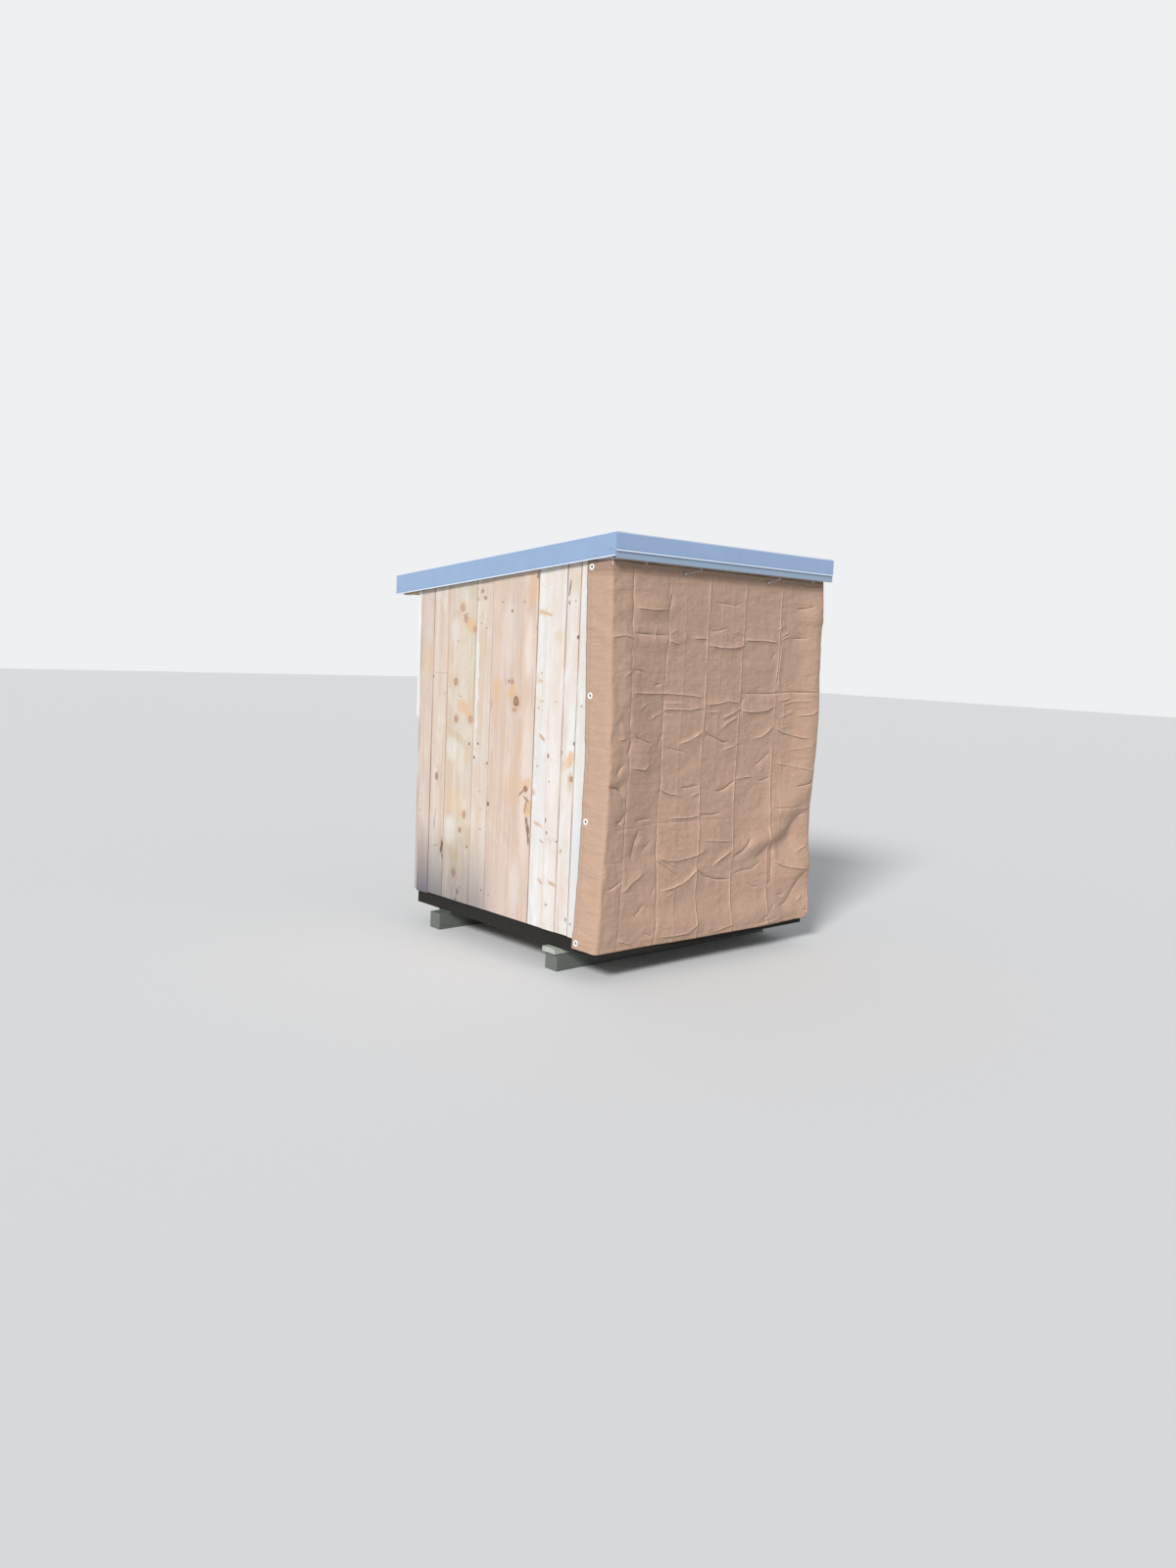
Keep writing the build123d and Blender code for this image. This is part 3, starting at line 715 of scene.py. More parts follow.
# Knots and stains of the left wall by board, as wood() takes them
LEFT_KNOTS = {
    0: [(-0.690, 1.308, 0.005, 0.006, 0, 0.6), (-0.672, 0.255, 0.006, 0.007, 0, 0.6)],
    1: [(-0.646, 1.630, 0.010, 0.010, 0, 1.0), (-0.572, 1.862, 0.006, 0.036, 0.16, 0.8),
        (-0.571, 1.792, 0.006, 0.011, 0, 0.7), (-0.644, 1.127, 0.006, 0.007, 0, 0.9),
        (-0.634, 0.955, 0.013, 0.013, 0, 0.8), (-0.616, 1.800, 0.006, 0.005, 0, 0.5),
        (-0.558, 1.075, 0.006, 0.012, 0.2, 0.6), (-0.578, 0.598, 0.005, 0.006, 0, 0.5),
        (-0.636, 0.270, 0.006, 0.008, 0, 0.7)],
    2: [(-0.458, 1.052, 0.008, 0.011, 0, 0.8), (-0.546, 0.640, 0.008, 0.006, 0.2, 0.7),
        (-0.468, 0.672, 0.007, 0.010, 0, 0.7), (-0.456, 0.732, 0.007, 0.012, 0, 0.7),
        (-0.525, 0.425, 0.024, 0.007, 0.2, 0.5), (-0.484, 0.314, 0.007, 0.007, 0, 0.7),
        (-0.500, 1.318, 0.005, 0.005, 0, 0.5), (-0.473, 0.926, 0.006, 0.006, 0, 0.5)],
    3: [(-0.400, 1.742, 0.046, 0.006, 0.20, 0.40), (-0.382, 1.412, 0.014, 0.005, 0.1, 0.35),
        (-0.406, 1.138, 0.020, 0.007, 0.6, 0.55), (-0.396, 0.706, 0.026, 0.006, 0.2, 0.35),
        (-0.432, 0.624, 0.014, 0.005, 0.4, 0.45), (-0.434, 0.422, 0.020, 0.006, 0.5, 0.40),
        (-0.377, 0.992, 0.007, 0.004, 0, 0.6), (-0.395, 1.314, 0.012, 0.004, 0.1, 0.35),
        (-0.386, 1.452, 0.005, 0.004, 0, 0.7), (-0.372, 1.280, 0.004, 0.004, 0, 0.7),
        (-0.398, 1.270, 0.005, 0.003, 0, 0.6), (-0.350, 0.860, 0.014, 0.010, 0.3, 0.4)],
    4: [(-0.193, 1.300, 0.021, 0.025, 0, 1.0), (-0.183, 1.258, 0.015, 0.010, 0.4, 0.6),
        (-0.155, 1.398, 0.011, 0.011, 0, 0.75), (-0.128, 1.400, 0.006, 0.009, 0, 0.7),
        (-0.293, 0.868, 0.014, 0.013, 0, 1.0), (-0.262, 0.848, 0.022, 0.005, -0.7, 0.9),
        (-0.302, 0.818, 0.024, 0.005, 0.5, 0.9), (-0.309, 0.712, 0.009, 0.018, -0.2, 0.8),
        (-0.322, 0.668, 0.010, 0.022, -0.2, 0.9), (-0.329, 0.614, 0.008, 0.020, -0.1, 0.8),
        (-0.320, 0.664, 0.0045, 0.062, -0.14, 0.9), (-0.300, 0.790, 0.0040, 0.046, 0.25, 0.8),
        (-0.137, 1.750, 0.007, 0.007, 0, 0.8), (-0.234, 1.797, 0.008, 0.004, 0, 0.5),
        (-0.060, 1.795, 0.009, 0.004, 0, 0.5), (-0.332, 1.920, 0.010, 0.014, 0, 0.7),
        (0.013, 0.755, 0.009, 0.010, 0, 1.0), (-0.016, 0.278, 0.007, 0.004, 0, 0.5)],
    5: [(0.118, 1.851, 0.011, 0.009, 0, 0.8), (0.092, 1.816, 0.011, 0.009, 0, 0.85),
        (0.078, 1.663, 0.007, 0.005, 0, 0.6), (0.120, 1.686, 0.007, 0.006, 0, 0.5),
        (0.154, 1.810, 0.006, 0.008, 0, 0.5), (0.118, 1.060, 0.009, 0.008, 0, 0.85),
        (0.148, 0.985, 0.009, 0.008, 0, 0.85), (0.034, 0.965, 0.007, 0.007, 0, 0.8),
        (0.092, 0.810, 0.012, 0.003, 0.1, 0.45), (0.080, 0.720, 0.006, 0.005, 0, 0.4),
        (0.078, 0.612, 0.008, 0.004, 0, 0.45), (0.050, 0.290, 0.008, 0.005, 0, 0.7)],
    6: [(0.287, 1.767, 0.019, 0.020, 0, 0.55), (0.256, 1.707, 0.016, 0.017, 0, 0.62),
        (0.258, 1.730, 0.024, 0.004, -0.2, 0.5), (0.172, 1.655, 0.014, 0.014, 0, 0.6),
        (0.318, 1.590, 0.006, 0.006, 0, 0.6), (0.330, 1.374, 0.017, 0.019, 0, 0.75),
        (0.190, 1.182, 0.018, 0.018, 0, 0.6), (0.318, 1.174, 0.015, 0.018, 0, 0.75),
        (0.282, 1.299, 0.009, 0.003, 0, 0.6), (0.194, 1.052, 0.009, 0.008, 0.3, 0.75),
        (0.222, 0.668, 0.012, 0.019, 0.15, 0.75), (0.255, 0.582, 0.012, 0.014, 0, 0.8),
        (0.188, 0.500, 0.007, 0.006, 0, 0.95), (0.302, 0.342, 0.017, 0.023, 0, 0.8),
        (0.262, 0.243, 0.010, 0.015, 0, 0.75), (0.277, 0.200, 0.009, 0.008, 0, 0.9),
        (0.240, 0.272, 0.005, 0.005, 0, 0.8)],
    7: [(0.487, 0.848, 0.012, 0.018, 0.1, 0.9), (0.418, 0.484, 0.007, 0.016, 0, 1.0),
        (0.426, 0.455, 0.010, 0.022, 0.2, 1.0), (0.417, 0.416, 0.005, 0.016, 0, 0.9),
        (0.545, 1.392, 0.007, 0.007, 0, 0.7), (0.426, 1.306, 0.009, 0.003, 0, 0.5),
        (0.478, 0.466, 0.022, 0.003, -0.2, 0.4), (0.480, 1.415, 0.064, 0.0012, 0, 0.5)],
    8: [(0.600, 1.318, 0.006, 0.004, 0, 0.4), (0.642, 0.640, 0.008, 0.008, 0, 0.3)],
}
LEFT_STAINS = {
    0: [(-0.69, 0.55, 0.06, 0.42, 0, COOL, 0.7)],
    1: [(-0.618, 1.045, 0.040, 0.055, 0.5, AMBER, 0.75), (-0.632, 0.945, 0.022, 0.060, 0, OCHRE, 0.45),
        (-0.575, 1.005, 0.026, 0.036, 0, AMBER, 0.45), (-0.610, 1.900, 0.045, 0.070, 0, AMBER, 0.35)],
    2: [(-0.515, 1.630, 0.050, 0.035, 0, AMBER, 0.30), (-0.520, 0.430, 0.040, 0.016, 0.3, AMBER, 0.60),
        (-0.500, 0.640, 0.050, 0.020, 0, ROSE, 0.40), (-0.500, 0.420, 0.060, 0.200, 0, SNOW, 0.35)],
    3: [(-0.375, 1.750, 0.060, 0.014, 0.22, AMBER, 0.60), (-0.400, 1.135, 0.034, 0.014, 0.6, AMBER, 0.45),
        (-0.395, 0.704, 0.050, 0.014, 0.2, AMBER, 0.50), (-0.356, 0.870, 0.030, 0.030, 0, AMBER, 0.35),
        (-0.400, 0.850, 0.060, 0.400, 0, COOL, 0.5), (-0.350, 1.425, 0.020, 0.020, 0, AMBER, 0.30)],
    4: [(-0.290, 0.900, 0.060, 0.560, 0, ROSY_WHITE, 0.80),
        (-0.300, 1.860, 0.055, 0.100, 0, AMBER, 0.62),
        (-0.285, 1.560, 0.050, 0.200, 0, ROSY_WHITE, 0.85),
        (-0.120, 1.640, 0.060, 0.240, 0, SNOW, 0.22), (-0.155, 1.350, 0.060, 0.032, -0.7, AMBER, 0.90),
        (-0.025, 1.345, 0.050, 0.085, 0.25, AMBER, 0.62), (0.016, 1.262, 0.009, 0.050, 0, RUST, 0.45),
        (-0.170, 0.850, 0.100, 0.120, 0, AMBER, 0.32), (-0.312, 0.770, 0.030, 0.050, 0.1, AMBER, 1.0),
        (-0.290, 0.890, 0.055, 0.045, 0, AMBER, 0.70), (-0.290, 0.860, 0.030, 0.026, 0, RUST, 0.35),
        (-0.315, 0.660, 0.018, 0.085, -0.15, RUST, 0.55), (-0.120, 0.300, 0.200, 0.180, 0, ROSE, 0.40),
        (-0.230, 0.380, 0.050, 0.200, 0, SNOW, 0.30), (-0.337, 1.690, 0.004, 0.034, 0, GREY, 0.70)],
    5: [(0.060, 0.962, 0.034, 0.010, 0, AMBER, 0.60), (0.148, 1.450, 0.020, 0.420, 0, SNOW, 0.65),
        (0.128, 1.085, 0.016, 0.005, 0.7, GREY, 0.50)],
    6: [(0.215, 1.680, 0.050, 0.045, 0, AMBER, 0.85), (0.240, 1.232, 0.080, 0.055, 0.2, AMBER, 0.80),
        (0.320, 1.176, 0.030, 0.040, 0, AMBER, 0.45), (0.325, 0.735, 0.120, 0.085, 0.1, AMBER, 0.36),
        (0.420, 0.800, 0.040, 0.070, 0, OCHRE, 0.55), (0.205, 0.990, 0.040, 0.060, 0, AMBER, 0.42),
        (0.300, 1.075, 0.120, 0.025, 0.4, OCHRE, 0.50), (0.350, 1.010, 0.060, 0.080, 0, SNOW, 0.40),
        (0.355, 0.570, 0.065, 0.100, 0, SNOW, 0.45), (0.350, 1.640, 0.050, 0.090, 0, SNOW, 0.30),
        (0.300, 0.440, 0.070, 0.050, 0, OCHRE, 0.50), (0.185, 0.560, 0.035, 0.080, 0, OCHRE, 0.55),
        (0.200, 1.850, 0.070, 0.060, 0, OCHRE, 0.35), (0.345, 1.740, 0.040, 0.030, 0, OCHRE, 0.45),
        (0.335, 1.420, 0.030, 0.035, 0, AMBER, 0.35), (0.255, 0.690, 0.030, 0.030, 0, AMBER, 0.45)],
    7: [(0.424, 0.470, 0.012, 0.060, 0, RUST, 0.85), (0.495, 0.600, 0.010, 0.070, 0.03, GREY, 0.45),
        (0.435, 1.500, 0.022, 0.090, 0, AMBER, 0.30), (0.487, 0.850, 0.022, 0.030, 0, ROSE, 0.50)],
    8: [(0.615, 1.490, 0.060, 0.130, 0, AMBER, 0.36), (0.600, 1.760, 0.060, 0.120, 0, ROSE, 0.35),
        (0.610, 1.000, 0.060, 0.200, 0, AMBER, 0.14)],
}


def side_place(x_out, sign):
    """Turns (across, thick, along) of a side wall into a point; thick counts inwards."""
    return lambda a, t, z: (x_out - sign * t, a, z)


def board_nails(chance, place, a0, a1, depth, rows, shares):
    """Places of one board's nails: two in each row, a little out of line."""
    return [
        place(a0 + (a1 - a0) * share + chance.uniform(-4, 4) * MM, depth, z + chance.uniform(-6, 6) * MM)
        for z in rows
        for share in shares
    ]


def left_wall():
    """Nine boards of mixed width, with the knots and stains that the photograph shows."""
    x_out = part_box("left_wall")[0][0]
    place = side_place(x_out, -1)
    parts, materials = Parts(), []
    chance = np.random.default_rng(11)
    edges = LEFT_EDGES
    for n, (colour, pith_y, depth, contrast, streaks) in enumerate(LEFT_LOOKS):
        a0 = edges[n] * MM + HALF_SEAMS[n] * MM
        a1 = edges[n + 1] * MM - HALF_SEAMS[n + 1] * MM
        materials.append(
            wood(
                f"left_board_{n + 1}_pine", "yxz", colour, (pith_y, x_out + depth), 0.0048, contrast,
                streaks, LEFT_KNOTS.get(n, ()), LEFT_STAINS.get(n, ()), seed=n + 1, saw_marks=0.5,
                specks=0.85, edges=(a0, a1, SEAM_DIRT[n], SEAM_DIRT[n + 1]),
                foot_dirt_and_shade=(0.62, FOOT_DIRT_AND_SHADE[n], -0.12, 0.10) if n in FOOT_DIRT_AND_SHADE else None,
            )
        )
        drop = LAST_BOARD_DROP if n == len(LEFT_LOOKS) - 1 else 0
        low = BOARD_LOW - drop + chance.uniform(-1.5, 1.5) * MM
        thick = (SET_BACKS[n] * MM, BOARD_THICK)
        board(parts, n, (a0, a1), (low, WALL_TOP), thick, place, chance, top=wall_top)
    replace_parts(parts.make("left_wall_boards", materials, slot="wall_boards"), "left_wall")

    places = []
    for n in range(1, len(LEFT_LOOKS)):
        rows = (*NAIL_ROWS, wall_top(edges[n] * MM) - LEFT_TOP_ROW)
        a0, a1, depth = edges[n] * MM, edges[n + 1] * MM, (SET_BACKS[n] + 0.1) * MM
        places += board_nails(chance, place, a0, a1, depth, rows, (0.22, 0.78))
    nail_heads("left_wall_nails", places, 0, -1)


def corner_battens():
    """Sawn battens on the upper part of the back wall, one at each of its side edges."""
    low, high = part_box("back_corner_battens")
    chance = np.random.default_rng(19)
    parts, materials = Parts(), []
    for n, start in enumerate((low[0], high[0] - BATTEN_WIDTH)):
        name, colour = f"corner_batten_pine_{n + 1}", shade(SAP, 1.04 - 0.04 * n)
        pith = (start + 0.02, high[1] - 0.06)
        materials.append(wood(name, "xyz", colour, pith, 0.0042, 0.25, seed=23 + n))
        board(parts, n, (start, start + BATTEN_WIDTH), (low[2], high[2]), (0, high[1] - low[1]),
              lambda a, t, z: (a, high[1] - t, z), chance)
    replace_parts(parts.make("corner_batten_pair", materials, slot="wall_boards"), "back_corner_battens")


def chance_knots(chance, a0, a1, low):
    """Knots on a board that isn't seen in the photograph, some of them in a stain."""
    knots, stains = [], []
    for _ in range(chance.integers(3, 8)):
        a, z = chance.uniform(a0 + 0.02, a1 - 0.02), chance.uniform(low + 0.08, 1.80)
        size = chance.uniform(0.006, 0.017)
        tall, turn, dark = chance.uniform(0.8, 1.5), chance.uniform(-0.4, 0.4), chance.uniform(0.5, 1.0)
        knots.append((a, z, size, size * tall, turn, dark))
        if chance.random() < 0.4:
            stains.append((a, z, size * 3.2, size * 5, 0, AMBER, chance.uniform(0.2, 0.5)))
    return knots, stains


def plain_wall(name, node, axes, place, span, top, out_axis, seed):
    """A wall of boards that the photograph doesn't show, in the same pine."""
    chance = np.random.default_rng(seed)
    widths = chance.uniform(0.8, 1.35, PLAIN_BOARDS)
    edges = span[0] + np.concatenate([[0], np.cumsum(widths)]) / widths.sum() * (span[1] - span[0])
    tones = [PINE, CREAM, HEART, SAP, PINKISH, CREAM, HEART, PINE, PINKISH, CREAM]
    out = place(0, 0, 0)[out_axis]
    parts, materials, places = Parts(), [], []
    for n, (a0, a1) in enumerate(zip(edges[:-1], edges[1:])):
        knots, stains = chance_knots(chance, a0, a1, BOARD_LOW)
        depth = chance.uniform(0.07, 0.13)
        middle = (a0 + a1) / 2 + chance.uniform(-0.03, 0.03)
        materials.append(
            wood(
                f"{name}_{n + 1}_pine", axes, tones[(n + seed) % len(tones)], (middle, out - depth),
                0.0042, chance.uniform(0.28, 0.48), knots=knots, stains=stains, seed=seed + n,
                saw_marks=0.5, specks=0.85, edges=(a0, a1, 0.5, 0.5), foot_dirt_and_shade=(0.45, 0.42, -2.0, -1.9),
            )
        )
        ends = (BOARD_LOW + chance.uniform(-1.5, 1.5) * MM, top(a0))
        thick = (chance.uniform(0, 1.2) * MM, BOARD_THICK)
        board(parts, n, (a0 + PLAIN_GAP, a1 - PLAIN_GAP), ends, thick, place, chance, top=top)
        rows = (*NAIL_ROWS, top((a0 + a1) / 2) - PLAIN_TOP_ROW)
        places += board_nails(chance, place, a0, a1, 0.6 * MM, rows, (0.2, 0.8))
    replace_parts(parts.make(name, materials, slot="wall_boards"), node)
    nail_heads(name.replace("boards", "nails"), places, out_axis, 1)


def other_walls():
    x_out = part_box("right_wall")[1][0]
    low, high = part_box("back_wall")
    plain_wall(
        "right_wall_boards", "right_wall", "yxz", side_place(x_out, 1), (FRONT_Y, BACK_Y), wall_top, 0, 31
    )
    plain_wall(
        "back_wall_boards", "back_wall", "xyz", lambda a, t, z: (a, high[1] - t, z), (low[0], high[0]),
        lambda a: high[2], 1, 53,
    )


def floor_boards():
    """Boards laid from side to side, greyed in patches."""
    low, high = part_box("floor_deck")
    count, gap = 11, 0.8 * MM
    step = (high[1] - low[1]) / count
    chance = np.random.default_rng(7)
    parts, materials = Parts(), []
    for n, tone in enumerate((PINE, CREAM, HEART, PINKISH)):
        places = [(chance.uniform(-0.8, 0.6), chance.uniform(-0.6, 0.6)) for _ in range(3)]
        stains = [(*place, 0.5, 0.3, 0, GREY, 0.35) for place in places]
        materials.append(
            wood(
                f"floor_board_{n + 1}_pine", "yzx", tone, (0.03 * n, low[2] - 0.08), 0.0045, 0.34,
                stains=stains, seed=70 + n, saw_marks=0.4, specks=0.7,
            )
        )
    for n in range(count):
        y0 = low[1] + n * step
        thick = (chance.uniform(0, 0.6) * MM, high[2] - low[2])
        board(parts, n % len(materials), (y0 + gap, y0 + step - gap), (low[0], high[0]), thick,
              lambda a, t, x: (x, a, high[2] - t), chance)
    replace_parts(parts.make("floor_boards_laid", materials, slot="floor_boards"), "floor_deck")


# Canvas front

(LEFT_X, FRONT_FACE, CLOTH_LOW), (RIGHT_X, FLAP_END, CLOTH_TOP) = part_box("front_tarp")
HALF_X, FLAP = (RIGHT_X - LEFT_X) / 2, FLAP_END - FRONT_FACE
CUT = (2 * (HALF_X + FLAP), CLOTH_TOP - CLOTH_LOW)
HEM_WIDTH, HEM_LIFT = 0.030, 0.0024
# How far the eyelets stand in from the cut's edges, and the two upper ones from the middle
EYELET_INSET = 0.030
EYELET_X = (HALF_X + FLAP - EYELET_INSET) / 3
HOOK_X = (-0.596, -0.222, 0.372, 0.646)
HOLE_CUT = 8 * MM
# Stitch lines: how far each lies in from the top, the foot and the side edges, and its width
STITCH_TOP, STITCH_LOW, STITCH_SIDE, STITCH = 0.047, 0.028, 0.026, 0.0035
# Radius of the bend round a front corner
CORNER_BEND = 0.016
# Where posts, header and floor stand right behind the cloth, a little wider than they are
POST_REACH, HEADER_LOW, FLOOR_LOW, FLOOR_TOP = 0.112, 1.905, 0.112, 0.275
CLOTH_ROWS = 385
# Creases: how far their heights and reaches below are drawn up and in, and their roundness in mm
CREASE_LIFT, CREASE_SHARP, CREASE_RADIUS = 2.0, 0.75, 1.6

# Broad swells of the hung cloth: middle, half width and half height, turn, and how far the
# cloth stands out there. It can fall back no more than SWELL_BACK, and is straight at the top.
SWELL_BACK, SWELL_FADE = -12, 110
SWELLS = (
    (-790, 970, 200, 640, 0.0, 37),
    (-650, 1380, 90, 210, 0.0, 10),
    (-720, 110, 300, 110, 0.0, -14),
    (-500, 1640, 170, 50, 0.0, 18),
    (-520, 1785, 110, 45, 0.0, 14),
    (-550, 1090, 90, 110, 0.0, 16),
    (-430, 760, 105, 150, 0.0, -13),
    (-480, 605, 90, 40, 0.0, -14),
    (-420, 1270, 90, 150, 0.0, -9),
    (-230, 1070, 170, 110, 0.0, -10),
    (-110, 1700, 90, 50, 0.0, -8),
    (150, 1560, 100, 45, 0.0, -8),
    (350, 1430, 120, 60, 0.0, -7),
    (735, 1340, 95, 640, 0.0, 37),
    (810, 1600, 60, 300, 0.0, -20),
    (710, 1800, 70, 60, 0.0, 12),
    (810, 860, 45, 170, 0.0, -20),
    (300, 1120, 230, 420, 0.0, -12),
    (20, 950, 120, 100, 0.0, -9),
    (590, 800, 140, 95, 0.55, 32),
    (640, 940, 90, 60, 0.0, 12),
    (380, 605, 190, 50, 0.20, 26),
    (620, 605, 65, 55, 0.0, -20),
    (700, 440, 140, 95, 0.0, 38),
    (280, 800, 150, 80, 0.3, -10),
    (-20, 650, 150, 90, 0.0, 14),
    (330, 170, 540, 100, 0.0, 27),
    (320, 230, 160, 50, 0.0, 14),
    (-230, 235, 220, 75, 0.0, 24),
    (800, 230, 60, 110, 0.0, 26),
    (-400, 390, 180, 75, 0.0, 11),
    (-520, 500, 80, 50, 0.0, 10),
)
FOLD_LIFT = 0.55
# Packing folds down the cloth: place, height, reach to the left and to the right, in mm
FOLDS = (
    (-648, -4.0, 5, 9),
    (-404, -4.4, 8, 6),
    (-285, 1.6, 12, 22),
    (-120, 4.6, 8, 5),
    (-17, 1.2, 6, 5),
    (148, 5.0, 9, 5),
    (434, 5.2, 10, 5),
    (505, 1.2, 5, 10),
    (752, 1.6, 7, 5),
)
